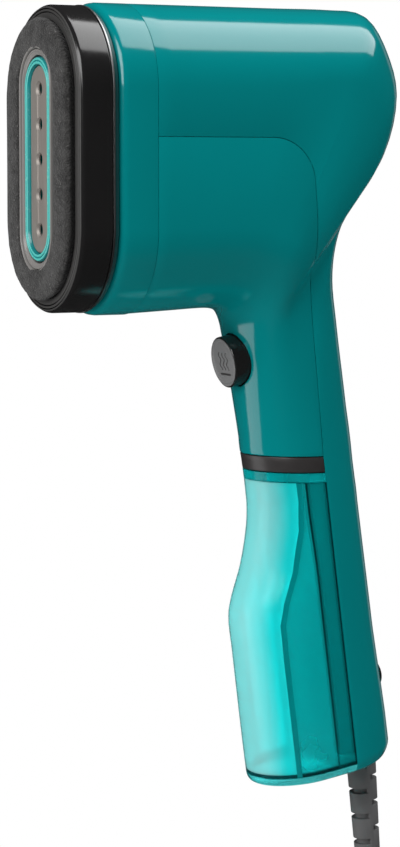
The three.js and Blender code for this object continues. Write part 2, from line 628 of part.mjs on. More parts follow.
// ---------------------------------------------------------------- the trigger
const button = rod(triggerAt(0), triggerAt(TRIGGER.length), TRIGGER.radius, undefined, 24)
  .subtract(rod(triggerAt(4), triggerAt(TRIGGER.length + 1), 6.6))
  .add(rod(triggerAt(3), triggerAt(11.2), 1.5, undefined, 10));
add("trigger_button", button, satinBlack);
add("trigger_spring", spring(triggerAt(4.8), triggerAt(14.4), 4.6, 0.5, 4), steel);
const holder = rod(triggerAt(15.2), triggerAt(16.7), 10).subtract(rod(triggerAt(14), triggerAt(18), 2));
add("switch_holder", holder, innerPlastic);
const SWITCH_BODY = 5.5;
const tip = rod(triggerAt(14.4), triggerAt(18.5), 1.3, undefined, 10);
const switchMiddle = triggerAt(17.2 + SWITCH_BODY / 2 + 0.8);
add("trigger_switch", box(...switchMiddle, 12.8, SWITCH_BODY, 6.5).add(tip), finish(0x202020, 0.5));

// ---------------------------------------------------------------- inside the spine
const powerButton = rod(powerAt(POWER.proud - POWER.length), powerAt(0), POWER.radius, undefined, 24).add(
  rod(powerAt(-0.2), powerAt(POWER.proud), POWER.radius, POWER.radius - 1.6, 24),
);
add("power_button", powerButton, glossyBlack);
const [, switchY, switchZ] = powerAt(POWER.proud - POWER.length - 5.2);
add("power_switch", box(0, switchY, switchZ, 8, 6, 7), finish(0x202020, 0.5));
const lean = new THREE.Group();
lean.rotation.x = LEAN;
steamer.add(lean);
const BOARD_Y = 4.4; // from the handle's own axis
add("control_board", box(0, BOARD_Y, -58, 24, 1.6, 40), boardGreen, lean);
add("board_relay", box(0, BOARD_Y + 4.9, -62, 12, 7.5, 15), finish(0x202428, 0.5), lean);
const leadPath = [
  [0, RELIEF_TOP[0] - 0.4, RELIEF_TOP[1] + 1.5],
  [3, 27, -112],
  [8.5, 24.5, -105],
  [9.5, 21, -95],
  [6, 18.5, -87],
  [2, 17, -81],
];
add("inner_lead", bentTube(leadPath, 2.2, 16), rubber);
const CLAMP_Z = -111.5;
add("cord_clamp", box(-6, 26.2, CLAMP_Z, 9, 3, 5), innerPlastic);
add("cord_clamp_screw", rod([-8, 24.4, CLAMP_Z], [-8, 20, CLAMP_Z], 1.4, undefined, 10), steel);

// ---------------------------------------------------------------- screws that hold the front ring
for (const [name, side] of [
  ["ring_screw_upper", 1],
  ["ring_screw_lower", -1],
]) {
  const z = side * (HEAD_HEIGHT / 2 - 6);
  const shank = headRod(0, z, RING_FRONT + 3.8, 30, 1.5, 10);
  add(name, headRod(0, z, RING_FRONT + 2.3, RING_FRONT + 4, 3).add(shank), steel, head);
}

// ---------------------------------------------------------------- the mains lead
add("strain_relief", rod(alongRelief(0), reliefFoot, RELIEF_RADIUS, 4.5), rubber);
const reliefLength = Math.hypot(RELIEF_FOOT[0] - RELIEF_TOP[0], RELIEF_FOOT[1] - RELIEF_TOP[1]);
const cordStart = alongRelief(reliefLength + GAP);
const cordRoute = [cordStart, [0, 32.1, -164], [0, 32.2, -169], [0, 32.2, HANK_TOP + GAP]];
add("cord", bentTube(cordRoute, CORD_DIAMETER / 2, 6, 10), rubber);
const HANK_FOOT = HANK_TOP - 2 * HANK_OUTER - HANK_RUN;
const hankOutline = stadium(2 * HANK_OUTER, HANK_TOP - HANK_FOOT);
const hankFront = HANK_Y - HANK_THICKNESS / 2;
const hank = new THREE.Group();
hank.position.set(0, 0, (HANK_TOP + HANK_FOOT) / 2);
steamer.add(hank);
add("cord_hank", alongY(hankOutline, hankFront, hankFront + HANK_THICKNESS), rubber, hank);
const TIE_HEIGHT = 18;
const TIE_THICKNESS = 1.6;
const tieHole = box(0, HANK_Y, 0, 2 * (HANK_OUTER + GAP), HANK_THICKNESS + 2 * GAP, TIE_HEIGHT + 2);
const tieWidth = 2 * (HANK_OUTER + GAP + TIE_THICKNESS);
const tieDepth = HANK_THICKNESS + 2 * (GAP + TIE_THICKNESS);
add("cord_tie", box(0, HANK_Y, 0, tieWidth, tieDepth, TIE_HEIGHT).subtract(tieHole), rubber, hank);

// The plug hangs under the hank, on the end of its outer turn.
const LEAD_CLEAR = 5.2; // the end of the lead below the curve of the hank at its middle line
const PLUG = { x: -27.3, y: 30.4, top: -352, length: 38, radius: 18 };
const leadOut =
  HANK_FOOT + HANK_OUTER - Math.sqrt(HANK_OUTER ** 2 - PLUG.x ** 2) - LEAD_CLEAR;
const leadEnds = [PLUG.top + GAP, leadOut].map((z) => [PLUG.x, PLUG.y, z]);
add("plug_lead", rod(...leadEnds, CORD_DIAMETER / 2, undefined, 10), rubber);
const plugRod = (from, to, radius, endRadius, sides) =>
  rod([PLUG.x, PLUG.y, PLUG.top - from], [PLUG.x, PLUG.y, PLUG.top - to], radius, endRadius, sides);
const plugFace = plugRod(21.9, PLUG.length, PLUG.radius, PLUG.radius, 24);
add("plug_body", plugRod(0, 22, 6, PLUG.radius, 24).add(plugFace), rubber);
for (const [name, side] of [
  ["plug_pin_left", -1],
  ["plug_pin_right", 1],
]) {
  const x = PLUG.x + side * 9.5;
  const top = PLUG.top - PLUG.length - GAP;
  add(name, rod([x, PLUG.y, top], [x, PLUG.y, top - 19], 2.4, 2.2, 12), steel);
}

export default steamer;
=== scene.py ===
import math

import bmesh
import bpy
from mathutils import Matrix, Vector


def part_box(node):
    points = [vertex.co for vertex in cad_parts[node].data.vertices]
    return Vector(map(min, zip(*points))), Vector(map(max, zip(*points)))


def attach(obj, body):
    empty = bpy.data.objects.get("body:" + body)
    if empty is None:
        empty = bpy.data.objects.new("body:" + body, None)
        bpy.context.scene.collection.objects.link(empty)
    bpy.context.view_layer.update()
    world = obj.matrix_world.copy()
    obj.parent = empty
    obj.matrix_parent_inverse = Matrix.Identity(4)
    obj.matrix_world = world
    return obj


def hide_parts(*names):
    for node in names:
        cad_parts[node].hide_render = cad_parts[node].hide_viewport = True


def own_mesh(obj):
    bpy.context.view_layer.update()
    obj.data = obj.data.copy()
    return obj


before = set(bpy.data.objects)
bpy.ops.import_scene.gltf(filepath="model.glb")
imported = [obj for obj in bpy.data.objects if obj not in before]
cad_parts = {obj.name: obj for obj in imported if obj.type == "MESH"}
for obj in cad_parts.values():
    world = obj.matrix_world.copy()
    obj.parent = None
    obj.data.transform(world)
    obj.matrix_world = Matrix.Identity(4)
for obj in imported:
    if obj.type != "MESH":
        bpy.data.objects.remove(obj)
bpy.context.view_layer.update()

# ------------------------------------------------------------------ camera, light and floor
# The steamer is held by its grip well above a plain pale floor. The camera looks a little down on its
# near side, past the pad.
camera = bpy.data.objects.new("camera", bpy.data.cameras.new("camera"))
bpy.context.scene.collection.objects.link(camera)
camera.location = (0.7931, -0.4318, 0.0783)
camera.rotation_euler = (math.radians(84.7284), 0, math.radians(63.4088))
camera.data.lens = 112.03
bpy.context.scene.camera = camera
bpy.context.scene.view_settings.view_transform = "Standard"

studio = bpy.data.worlds.new("studio")
studio.use_nodes = True
rays = studio.node_tree.nodes.new("ShaderNodeLightPath")
seen = studio.node_tree.nodes.new("ShaderNodeMath")
seen.operation = "MAXIMUM"
glow = studio.node_tree.nodes.new("ShaderNodeMapRange")
glow.inputs["To Min"].default_value = 0.02
room = studio.node_tree.nodes.new("ShaderNodeMath")
room.operation = "MULTIPLY_ADD"
room.inputs[1].default_value = 0.16
studio.node_tree.links.new(rays.outputs["Is Diffuse Ray"], room.inputs[0])
studio.node_tree.links.new(rays.outputs["Is Camera Ray"], seen.inputs[0])
studio.node_tree.links.new(rays.outputs["Is Transmission Ray"], seen.inputs[1])
studio.node_tree.links.new(seen.outputs[0], glow.inputs["Value"])
sky = studio.node_tree.nodes["Background"]
sky.inputs["Color"].default_value = (1, 1, 1, 1)
studio.node_tree.links.new(glow.outputs[0], room.inputs[2])
studio.node_tree.links.new(room.outputs[0], sky.inputs["Strength"])
bpy.context.scene.world = studio

FLOOR = -0.42
bpy.ops.object.select_all(action="DESELECT")
bpy.ops.mesh.primitive_plane_add(size=1.5, location=(0, 0, FLOOR))
floor = bpy.context.object
floor.name = "floor"


def soft_box(name, place, aim, width, height, watts):
    """A large soft lamp at place, facing aim."""
    data = bpy.data.lights.new(name, "AREA")
    data.shape = "RECTANGLE"
    data.size, data.size_y, data.energy = width, height, watts
    lamp = bpy.data.objects.new(name, data)
    bpy.context.scene.collection.objects.link(lamp)
    lamp.location = place
    lamp.rotation_euler = (Vector(place) - Vector(aim)).to_track_quat("Z", "Y").to_euler()


soft_box("key", (0.50, -1.1, 0.70), (0, 0, 0), 1.0, 1.0, 20)
soft_box("overhead", (0.185, 0.75, 1.06), (0.185, 0.75, 0), 0.91, 1.7, 24)
soft_box("rim", (-0.65, 1.0, 0.0), (0, 0.02, 0), 0.25, 1.3, 0.3)
soft_box("grip", (-0.46, -0.90, -0.30), (0, 0, -0.06), 0.6, 0.8, 3.0)


# ------------------------------------------------------------------ how a material is written
# A surface is painted by sums on sockets. Any other node comes from node().
class Paint:
    """A socket in a material's nodes. Arithmetic on it adds Math nodes."""

    def __init__(self, tree, socket=None):
        self.tree = tree
        self.socket = socket

    def node(self, kind, settings, inputs, output=0):
        added = self.tree.nodes.new("ShaderNode" + kind)
        for name, value in settings.items():
            setattr(added, name, value)
        for name, value in inputs.items():
            if isinstance(value, Paint):
                self.tree.links.new(value.socket, added.inputs[name])
            else:
                added.inputs[name].default_value = value
        return Paint(self.tree, added.outputs[output])

    def math(self, operation, *values):
        return self.node("Math", {"operation": operation}, dict(enumerate(values)))

    def __add__(self, other):
        return self.math("ADD", self, other)

    __radd__ = __add__

    def __sub__(self, other):
        return self.math("SUBTRACT", self, other)

    def __rsub__(self, other):
        return self.math("SUBTRACT", other, self)

    def __mul__(self, other):
        return self.math("MULTIPLY", self, other)

    __rmul__ = __mul__

    def __truediv__(self, other):
        return self.math("DIVIDE", self, other)

    def __abs__(self):
        return self.math("ABSOLUTE", self)

    def rise(self, low, high):
        """0 below low and 1 above high, with a soft step between."""
        return self.node("MapRange", {"interpolation_type": "SMOOTHSTEP"},
                         {"Value": self, "From Min": low, "From Max": high})

    def noise(self, scale, detail=2.0, roughness=0.5):
        return self.node("TexNoise", {}, {"Vector": self, "Scale": scale, "Detail": detail,
                                          "Roughness": roughness})

    def spots(self, scale):
        return self.node("TexVoronoi", {}, {"Vector": self, "Scale": scale})

    def stretched(self, x, y, z):
        return self.node("VectorMath", {"operation": "MULTIPLY"}, {0: self, 1: (x, y, z)})

    def mix(self, low, high):
        """A colour between low and high, by this value."""
        return self.node("Mix", {"data_type": "RGBA"}, {0: self, 6: low, 7: high}, 2)

    def bump(self, distance, strength=1.0):
        return self.node("Bump", {}, {"Height": self, "Distance": distance, "Strength": strength})

    def into(self, shader, name):
        self.tree.links.new(self.socket, shader.inputs[name])


def new_material(name, **constants):
    """A material, its shader with the constants set, the place on the piece, and its x, y and z."""
    material = bpy.data.materials.new(name)
    material.use_nodes = True
    shader = material.node_tree.nodes["Principled BSDF"]
    for socket, value in constants.items():
        shader.inputs[socket.replace("_", " ")].default_value = value
    at = Paint(material.node_tree).node("TexCoord", {}, {}, "Object")
    x, y, z = (at.node("SeparateXYZ", {}, {"Vector": at}, axis) for axis in "XYZ")
    return material, shader, at, (x, y, z)


floor_finish, shader, at, _ = new_material("floor_finish", Roughness=0.9, Specular_IOR_Level=0.1)
pale = at.noise(3).rise(0.2, 0.8).mix((0.84, 0.84, 0.84, 1), (0.88, 0.88, 0.88, 1))
# Painted shade in reflections: seen by glossy rays the floor is painted nearly black, so the steamer's gloss
# reflects a dark floor.
mirrored = at.node("LightPath", {}, {}, "Is Glossy Ray")
mirrored.mix(pale, (0.02, 0.02, 0.02, 1)).into(shader, "Base Color")
floor.data.materials.append(floor_finish)


# ------------------------------------------------------------------ mains lead
# Black sheathed two-core lead, 6.5 mm round. It leaves the foot of the strain relief, and its spare length
# is folded into a hank of two inner and two outer rounds, three cords deep.
CORD_DIAMETER = 0.0065
CORD_EXIT = (0, 0.0318, -0.1593)
ROUND_TOP, ROUND_FOOT = -0.209, -0.316
INNER, OUTER = 0.0206, 0.0274
LAYERS = (0.0304, 0.0372, 0.0440)


def bend(radius, depth, middle, start):
    """Half a turn of the hank in the x-z plane, from the angle start, clockwise."""
    for step in range(7):
        angle = start + math.pi * step / 6
        yield (radius * math.cos(angle), depth, middle + radius * math.sin(angle))


def straight(x0, y0, z0, x1, y1, z1):
    """The points between the two ends of a run, easing sideways."""
    for step in range(1, 6):
        t = step / 6
        ease = t * t * (3 - 2 * t)
        yield (x0 + (x1 - x0) * ease, y0 + (y1 - y0) * ease, z0 + (z1 - z0) * t)


rounds = [  # radius and depth at the foot, then radius and depth at the top
    (INNER, LAYERS[0], INNER, LAYERS[1]),
    (INNER, LAYERS[1], INNER, LAYERS[2]),
    (OUTER, LAYERS[2], OUTER, LAYERS[2]),
    (OUTER, LAYERS[1], OUTER, LAYERS[1]),
]
route = [CORD_EXIT, (0, 0.0321, -0.164), (0, 0.0322, -0.169), (0, 0.0322, -0.178)]
x, y, z = route[-1]
route += list(straight(x, y, z, -INNER, LAYERS[0], -0.226))
x, y, z = -INNER, LAYERS[0], -0.226
for foot_radius, foot_depth, top_radius, top_depth in rounds:
    route.append((x, y, z))
    route += list(straight(x, y, z, -foot_radius, foot_depth, ROUND_FOOT))
    route += list(bend(foot_radius, foot_depth, ROUND_FOOT, math.pi))
    route += list(straight(foot_radius, foot_depth, ROUND_FOOT, top_radius, top_depth, ROUND_TOP))
    over = list(bend(top_radius, top_depth, ROUND_TOP, 0))
    route += over[:-1]
    x, y, z = over[-1]
PLUG_TOP = (-OUTER, LAYERS[0], -0.352)
route.append((x, y, z))
route += list(straight(x, y, z, *PLUG_TOP))
route.append(PLUG_TOP)

curve = bpy.data.curves.new("mains_lead", "CURVE")
curve.dimensions = "3D"
curve.bevel_depth = CORD_DIAMETER / 2
curve.bevel_resolution = 5
curve.resolution_u = 6
spline = curve.splines.new("NURBS")
spline.points.add(len(route) - 1)
for point, place in zip(spline.points, route):
    point.co = (*place, 1)
spline.use_endpoint_u = True
spline.order_u = 4
mains_lead = bpy.data.objects.new("mains_lead", curve)
bpy.context.scene.collection.objects.link(mains_lead)

sheath, shader, at, _ = new_material("cord_sheath", Specular_IOR_Level=0.4)
grain = at.noise(900, 3)
at.noise(60).mix((0.020, 0.020, 0.021, 1), (0.034, 0.034, 0.036, 1)).into(shader, "Base Color")
(0.42 + 0.16 * grain).into(shader, "Roughness")
grain.bump(0.00008).into(shader, "Normal")
mains_lead.data.materials.append(sheath)

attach(mains_lead, "housing")
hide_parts("cord", "cord_hank", "plug_lead")


# ------------------------------------------------------------------ strain relief
# Soft black rubber sleeve moulded round the lead, 40 mm long, with half rings of slots that take turns
# from side to side so that it bends evenly.
def only(piece):
    bpy.ops.object.select_all(action="DESELECT")
    piece.select_set(True)
    bpy.context.view_layer.objects.active = piece


def choose(piece, test, mode="VERT"):
    """Selects the points, edges or faces of the piece in edit mode whose middle passes the test."""
    bpy.ops.mesh.select_mode(type=mode)
    bpy.ops.mesh.select_all(action="DESELECT")
    mesh = bmesh.from_edit_mesh(piece.data)
    parts = {"VERT": mesh.verts, "EDGE": mesh.edges, "FACE": mesh.faces}[mode]
    for part in parts:
        corners = [part.co] if mode == "VERT" else [v.co for v in part.verts]
        if test(sum(corners, Vector()) / len(corners)):
            part.select_set(True)
    mesh.select_flush_mode()
    bmesh.update_edit_mesh(piece.data)


def applied(piece, kind, **settings):
    only(piece)
    modifier = piece.modifiers.new(kind.lower(), kind)
    for name, value in settings.items():
        setattr(modifier, name, value)
    bpy.ops.object.modifier_apply(modifier=modifier.name)


def cut(piece, operation, tool, keep_tool=False):
    """Joins a tool to the piece, takes it away from the piece, or keeps what the two share."""
    applied(piece, "BOOLEAN", object=tool, operation=operation, solver="EXACT")
    if not keep_tool:
        bpy.data.objects.remove(tool)


def outline(*corners):
    """A closed or open outline through corners of (radius, depth, rounding)."""
    points = []
    for i, (r, d, rounding) in enumerate(corners):
        here = Vector((r, d))
        if rounding == 0:
            points.append(tuple(here))
            continue
        back = (Vector(corners[i - 1][:2]) - here).normalized()
        on = (Vector(corners[(i + 1) % len(corners)][:2]) - here).normalized()
        for step in range(5):
            t = step / 4
            a, b = here + back * rounding, here + on * rounding
            points.append(tuple(a * (1 - t) ** 2 + here * 2 * t * (1 - t) + b * t ** 2))
    return points


def turned(name, loops, place, turn, sides=64, closed=False):
    """A round piece: a circle at place, extruded through loops of (radius, depth) along its axis."""
    bpy.ops.object.select_all(action="DESELECT")
    phase = Matrix.Rotation(math.pi / sides, 3, "Z")
    bpy.ops.mesh.primitive_circle_add(vertices=sides, radius=loops[0][0], location=(0, 0, loops[0][1]),
                                      rotation=phase.to_euler())
    piece = bpy.context.object
    piece.name = name
    bpy.ops.object.transform_apply()
    bpy.ops.object.mode_set(mode="EDIT")
    bpy.ops.mesh.select_mode(type="EDGE")
    bpy.ops.mesh.select_all(action="SELECT")
    if not closed:
        bpy.ops.mesh.edge_face_add()
        choose(piece, lambda at: True, "EDGE")
    for (r0, d0), (r1, d1) in zip(loops, loops[1:] + loops[:1] * closed):
        bpy.ops.mesh.extrude_edges_move(TRANSFORM_OT_translate={"value": (0, 0, d1 - d0)})
        bpy.ops.transform.resize(value=(r1 / r0, r1 / r0, 1))
    if not closed:
        bpy.ops.mesh.edge_face_add()
    bpy.ops.mesh.select_all(action="SELECT")
    bpy.ops.mesh.remove_doubles(threshold=1e-7)
    bpy.ops.mesh.normals_make_consistent(inside=False)
    bpy.ops.object.mode_set(mode="OBJECT")
    piece.matrix_world = Matrix.Translation(place) @ turn.to_4x4()
    only(piece)
    bpy.ops.object.transform_apply()
    return piece


def fitted(piece, body, slot, finish, *nodes, angle=35):
    """Smooths the piece, paints it, and puts it in the place of the nodes that it stands for."""
    only(piece)
    bpy.ops.object.shade_smooth_by_angle(angle=math.radians(angle))
    piece.data.materials.clear()
    piece.data.materials.append(finish)
    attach(piece, body)
    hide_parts(*nodes)
    return piece


moulded_rubber, shader, at, _ = new_material("moulded_rubber", Specular_IOR_Level=0.35)
grain = at.noise(1400, 2)
at.noise(90).mix((0.085, 0.085, 0.087, 1), (0.125, 0.125, 0.127, 1)).into(shader, "Base Color")
(0.48 + 0.18 * grain).into(shader, "Roughness")
grain.bump(0.00006).into(shader, "Normal")

RELIEF_TOP, RELIEF_FOOT = Vector((0, 0.0282, -0.1195)), Vector((0, 0.0316, -0.159))
down_the_lead = (RELIEF_FOOT - RELIEF_TOP).to_track_quat("Z", "Y").to_matrix()
sleeve = [(0.0052, 0.0), (0.0052, 0.006), (0.0045, 0.0385), (0.0040, 0.0395)]
relief = turned("strain_relief_sleeve", sleeve, RELIEF_TOP, down_the_lead)
bpy.ops.object.select_all(action="DESELECT")
SLOTS, FIRST_SLOT, SLOT_PITCH = 7, 0.0068, 0.0046
for ring in range(SLOTS):
    side = 1 if ring % 2 else -1
    spot = RELIEF_TOP + down_the_lead @ Vector((0, side * 0.0055, FIRST_SLOT + SLOT_PITCH * ring))
    bpy.ops.mesh.primitive_cube_add(size=1, location=spot, rotation=down_the_lead.to_euler(),
                                    scale=(0.014, 0.0098, 0.0019))
    cut(relief, "DIFFERENCE", bpy.context.object)
cut(relief, "UNION", turned("core", [(0.0034, 0.001), (0.0034, 0.039)], RELIEF_TOP, down_the_lead, 32))
applied(relief, "BEVEL", width=0.00025, segments=2, limit_method="ANGLE")
fitted(relief, "housing", "rubber_black", moulded_rubber, "strain_relief")


# ------------------------------------------------------------------ plug and tie
# A round moulded rubber plug with two nickel-plated pins, and a soft strap round the middle of the hank.
down = Matrix.Rotation(math.pi, 3, "X")
RIBS, FIRST_RIB, RIB_PITCH = 4, 0.003, 0.0028
plug_shape = [(0.0046, 0.0), (0.0056, 0.0008)]
for rib in range(RIBS):
    r, d = 0.0062 + 0.0002 * rib, FIRST_RIB + RIB_PITCH * rib
    plug_shape += [(r, d), (r, d + 0.0014), (0.0052, d + 0.0016), (0.0052, d + 0.0024)]
plug_shape += outline((0.0072, 0.0145, 0), (0.0100, 0.0190, 0.002), (0.0176, 0.0230, 0.002),
                      (0.0180, 0.0270, 0.001), (0.0180, 0.0368, 0.001), (0.0150, 0.0380, 0.0005),
                      (0.0140, 0.0380, 0))
plug = turned("plug_moulding", plug_shape, PLUG_TOP, down, 72)
fitted(plug, "housing", "rubber_black", moulded_rubber, "plug_body")

nickel, shader, at, _ = new_material("nickel_plate", Metallic=1.0, Base_Color=(0.66, 0.64, 0.60, 1))
(0.16 + 0.2 * at.stretched(900, 900, 40).noise(1, 3)).into(shader, "Roughness")
pin_shape = outline((0.0024, 0.0, 0), (0.0024, 0.019, 0.0015), (0.0004, 0.019, 0))
for side, node in ((-1, "plug_pin_left"), (1, "plug_pin_right")):
    foot = (PLUG_TOP[0] + side * 0.0095, PLUG_TOP[1], PLUG_TOP[2] - 0.0383)
    pin = turned(node + "_plated", pin_shape, foot, down, 32)
    fitted(pin, "housing", "pin_metal", nickel, node)

low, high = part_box("cord_tie")
bpy.ops.object.select_all(action="DESELECT")
bpy.ops.mesh.primitive_cube_add(size=1, location=(low + high) / 2, scale=high - low)
tie = bpy.context.object
tie.name = "hank_strap"
bpy.ops.object.transform_apply()
bpy.ops.object.mode_set(mode="EDIT")
strap_middle = (low.z + high.z) / 2
choose(tie, lambda at: abs(at.z - strap_middle) > 0.004, "FACE")
bpy.ops.mesh.delete(type="ONLY_FACE")
choose(tie, lambda at: abs(at.z - strap_middle) < 0.001, "EDGE")
bpy.ops.mesh.bevel(offset=0.0085, segments=8)
bpy.ops.mesh.select_all(action="SELECT")
bpy.ops.mesh.normals_make_consistent(inside=False)
bpy.ops.object.mode_set(mode="OBJECT")
applied(tie, "SOLIDIFY", thickness=0.0016, offset=-1)
applied(tie, "BEVEL", width=0.0004, segments=3, limit_method="ANGLE")
fitted(tie, "housing", "rubber_black", moulded_rubber, "cord_tie")


# ------------------------------------------------------------------ glossy teal mouldings
# The housing is moulded in one teal plastic with a polished face: a faint ripple from the mould, very fine
# scratches, and a slight change of depth in the colour. The tongue under the tank is painted a paler
# turquoise, painted light for the light that comes through the clear tank onto it.
teal, shader, at, (x, y, z) = new_material("polished_teal", IOR=1.47)
SPINE_PLACE, SPINE_LEAN, TONGUE_TOP = 0.0004, 0.13, -0.0204
cloud = at.noise(14, 3).mix((0.0, 0.176, 0.184, 1), (0.0, 0.196, 0.204, 1))
tongue_side = 1 - (y + SPINE_LEAN * z - SPINE_PLACE).rise(-0.0004, -0.0001)
# Painted light: the tongue under the tank is painted a paler turquoise than the housing's teal.
tongue_painted_light = (1 - z.rise(TONGUE_TOP, TONGUE_TOP + 0.0002)) * tongue_side
tongue_painted_light.mix(cloud, (0.0, 0.42, 0.43, 1)).into(shader, "Base Color")
scratches = at.stretched(1, 1, 0.12).noise(1500, 4).rise(0.66, 0.80)
(0.09 + 0.04 * at.noise(160, 3) + 0.12 * scratches).into(shader, "Roughness")
(at.noise(55, 2) * 0.6 + 0.06 * at.noise(900, 2)).bump(0.00012, 0.35).into(shader, "Normal")


# ------------------------------------------------------------------ pieces of the head's front
# Everything on the front of the head has the same outline, two half circles joined by straight sides. A
# piece is turned round the head's axis, and then its two halves are pulled apart by half the length of the
# straight sides, which is named here for each outline that neighbours share.
HEAD = Vector((0, -0.0913, 0.085))
BACKWARD = Matrix.Rotation(-math.pi / 2, 3, "X")
NOZZLE_SIDE, PLATE_SIDE, LIP_SIDE, TRAY_SIDE = 0.022775, 0.0232, 0.02375, 0.02115


def head_piece(name, loops, straight, inner_straight=None, within=0.0, closed=True, sides=96):
    """A piece of the head from its loops of (radius, depth) and half the length of its straight sides."""
    piece = turned(name, loops, HEAD, BACKWARD, sides, closed)
    bpy.ops.object.mode_set(mode="EDIT")
    for side in (-1, 1):
        if inner_straight is not None:
            choose(piece, lambda at: (at.z - HEAD.z) * side > 0 and math.hypot(at.x, at.z - HEAD.z) < within)
            bpy.ops.transform.translate(value=(0, 0, side * (inner_straight - straight)))
    for side in (-1, 1):
        choose(piece, lambda at: (at.z - HEAD.z) * side > 0)
        bpy.ops.transform.translate(value=(0, 0, side * straight))
    bpy.ops.object.mode_set(mode="OBJECT")
    return piece


# Front ring: the teal ring that closes the housing behind the pad, with a rounded front edge.
ring_shape = outline((0.02895, 0.0272, 0.0001), (0.02895, 0.0141, 0.0030), (0.0225, 0.0141, 0.0005),
                     (0.0221, 0.0150, 0), (0.01895, 0.0150, 0), (0.01895, 0.0161, 0), (0.02635, 0.0161, 0),
                     (0.02635, 0.0272, 0))
front_ring = head_piece("front_ring_moulding", ring_shape, 0.0221)
fitted(front_ring, "housing", "teal_gloss", teal, "front_ring")

# Collar: the dark teal wall that the nozzle comes through.
dark_teal, shader, at, _ = new_material("dark_teal", Specular_IOR_Level=0.35)
at.noise(20).mix((0.004, 0.060, 0.062, 1), (0.006, 0.078, 0.080, 1)).into(shader, "Base Color")
(0.32 + 0.15 * at.noise(700, 2)).into(shader, "Roughness")
collar_shape = outline((0.02775, 0.0124, 0.0004), (0.02775, 0.0138, 0.0003), (0.0074, 0.0138, 0),
                       (0.0074, 0.0124, 0))
collar = head_piece("collar_moulding", collar_shape, 0.02155, PLATE_SIDE, 0.01)
fitted(collar, "housing", "teal_dark", dark_teal, "collar")

# Nozzle ring: stands proud of the pad's lip, with a rounded crown that falls inward to the plate.
nozzle_shape = outline((0.010425, 0.0120, 0), (0.010425, -0.0022, 0.0005), (0.0099, -0.0028, 0.0003),
                       (0.0094, -0.0028, 0.0002), (0.0092, -0.0025, 0.0001), (0.0090, -0.0025, 0.0001),
                       (0.0088, -0.0028, 0.0002), (0.0082, -0.0028, 0.0003), (0.0074, -0.0019, 0.0003),
                       (0.0074, 0.0120, 0))
nozzle = head_piece("nozzle_moulding", nozzle_shape, NOZZLE_SIDE, PLATE_SIDE, 0.008)
turquoise, shader, at, (x, y, z) = new_material("teal_painted_crest_highlight", Specular_IOR_Level=0.5)
# Painted highlight: the front of the crown is painted a pale turquoise, and the rest of the ring is teal.
crest_highlight = 1 - y.rise(HEAD.y - 0.00272, HEAD.y - 0.00255)
crest_highlight.mix((0.006, 0.19, 0.195, 1), (0.085, 0.46, 0.42, 1)).into(shader, "Base Color")
(0.20 + 0.12 * at.noise(500, 2)).into(shader, "Roughness")
at.noise(900, 2).bump(0.00003, 0.4).into(shader, "Normal")
fitted(nozzle, "housing", "teal_gloss", turquoise, "nozzle_ring")

# Steam plate: pressed bronze-coloured metal with a shallow slot and five countersunk steam holes.
plate_shape = outline((0.0012, -0.00165, 0), (0.00135, -0.00165, 0.0001), (0.00155, -0.0019, 0.00012),
                      (0.0068, -0.0019, 0.0002), (0.0071, -0.0016, 0.0001), (0.0071, -0.0007, 0))
plate = head_piece("steam_plate_pressing", plate_shape, PLATE_SIDE, closed=False)
HOLE_PITCH = 0.0114
for hole in range(-2, 3):
    spot = HEAD + Vector((0, 0, HOLE_PITCH * hole))
    drill = turned("drill", [(0.0027, -0.0020), (0.0019, -0.0012), (0.0018, 0.0010)], spot, BACKWARD, 32)
    cut(plate, "DIFFERENCE", drill)
bronze, shader, at, _ = new_material("bronze_plate", Metallic=0.6)
brushed = at.stretched(700, 40, 60).noise(1, 4)
brushed.mix((0.245, 0.222, 0.200, 1), (0.330, 0.302, 0.278, 1)).into(shader, "Base Color")
(0.50 + 0.14 * brushed).into(shader, "Roughness")
brushed.bump(0.00004, 0.4).into(shader, "Normal")
fitted(plate, "housing", "bronze_plate", bronze, "steam_plate")

# Lip: the grey ring inside the pad, in two steps.
lip_shape = outline((0.0130, 0.0047, 0), (0.0130, -0.0036, 0.0004), (0.0123, -0.0036, 0.0003),
                    (0.0121, -0.0030, 0.0001), (0.0121, -0.0022, 0), (0.0118, -0.0022, 0),
                    (0.0118, -0.0030, 0.0001), (0.0113, -0.0030, 0.0002), (0.010925, -0.0022, 0.0002),
                    (0.010925, 0.0047, 0))
lip = head_piece("pad_lip_moulding", lip_shape, LIP_SIDE, NOZZLE_SIDE, 0.0112)
grey, shader, at, _ = new_material("grey_lip", Specular_IOR_Level=0.45)
at.noise(60, 3).mix((0.175, 0.165, 0.158, 1), (0.215, 0.205, 0.198, 1)).into(shader, "Base Color")
(0.30 + 0.14 * at.noise(1200, 2)).into(shader, "Roughness")
fitted(lip, "pad", "grey_plastic", grey, "pad_lip")

# Frame: the glossy black tray that holds the pad, with two fine grooves round its front rim.
frame_shape = outline((0.02885, 0.0112, 0.0003), (0.02885, 0.0014, 0.0006), (0.0283, 0.0006, 0.0003),
                      (0.0280, 0.0001, 0.0002), (0.0277, 0.0001, 0.0001), (0.0275, 0.0009, 0.0001),
                      (0.0272, 0.0001, 0.0001), (0.0266, 0.0, 0.0002), (0.0264, 0.0008, 0.0001),
                      (0.0261, 0.0, 0.0001), (0.02415, 0.0, 0.0003), (0.02415, 0.0050, 0),
                      (0.010925, 0.0050, 0), (0.010925, 0.0076, 0), (0.02635, 0.0076, 0),
                      (0.02635, 0.0112, 0))
pad_frame = head_piece("pad_frame_moulding", frame_shape, TRAY_SIDE, NOZZLE_SIDE, 0.012)
black, shader, at, (x, y, z) = new_material("polished_black", Specular_IOR_Level=0.5)
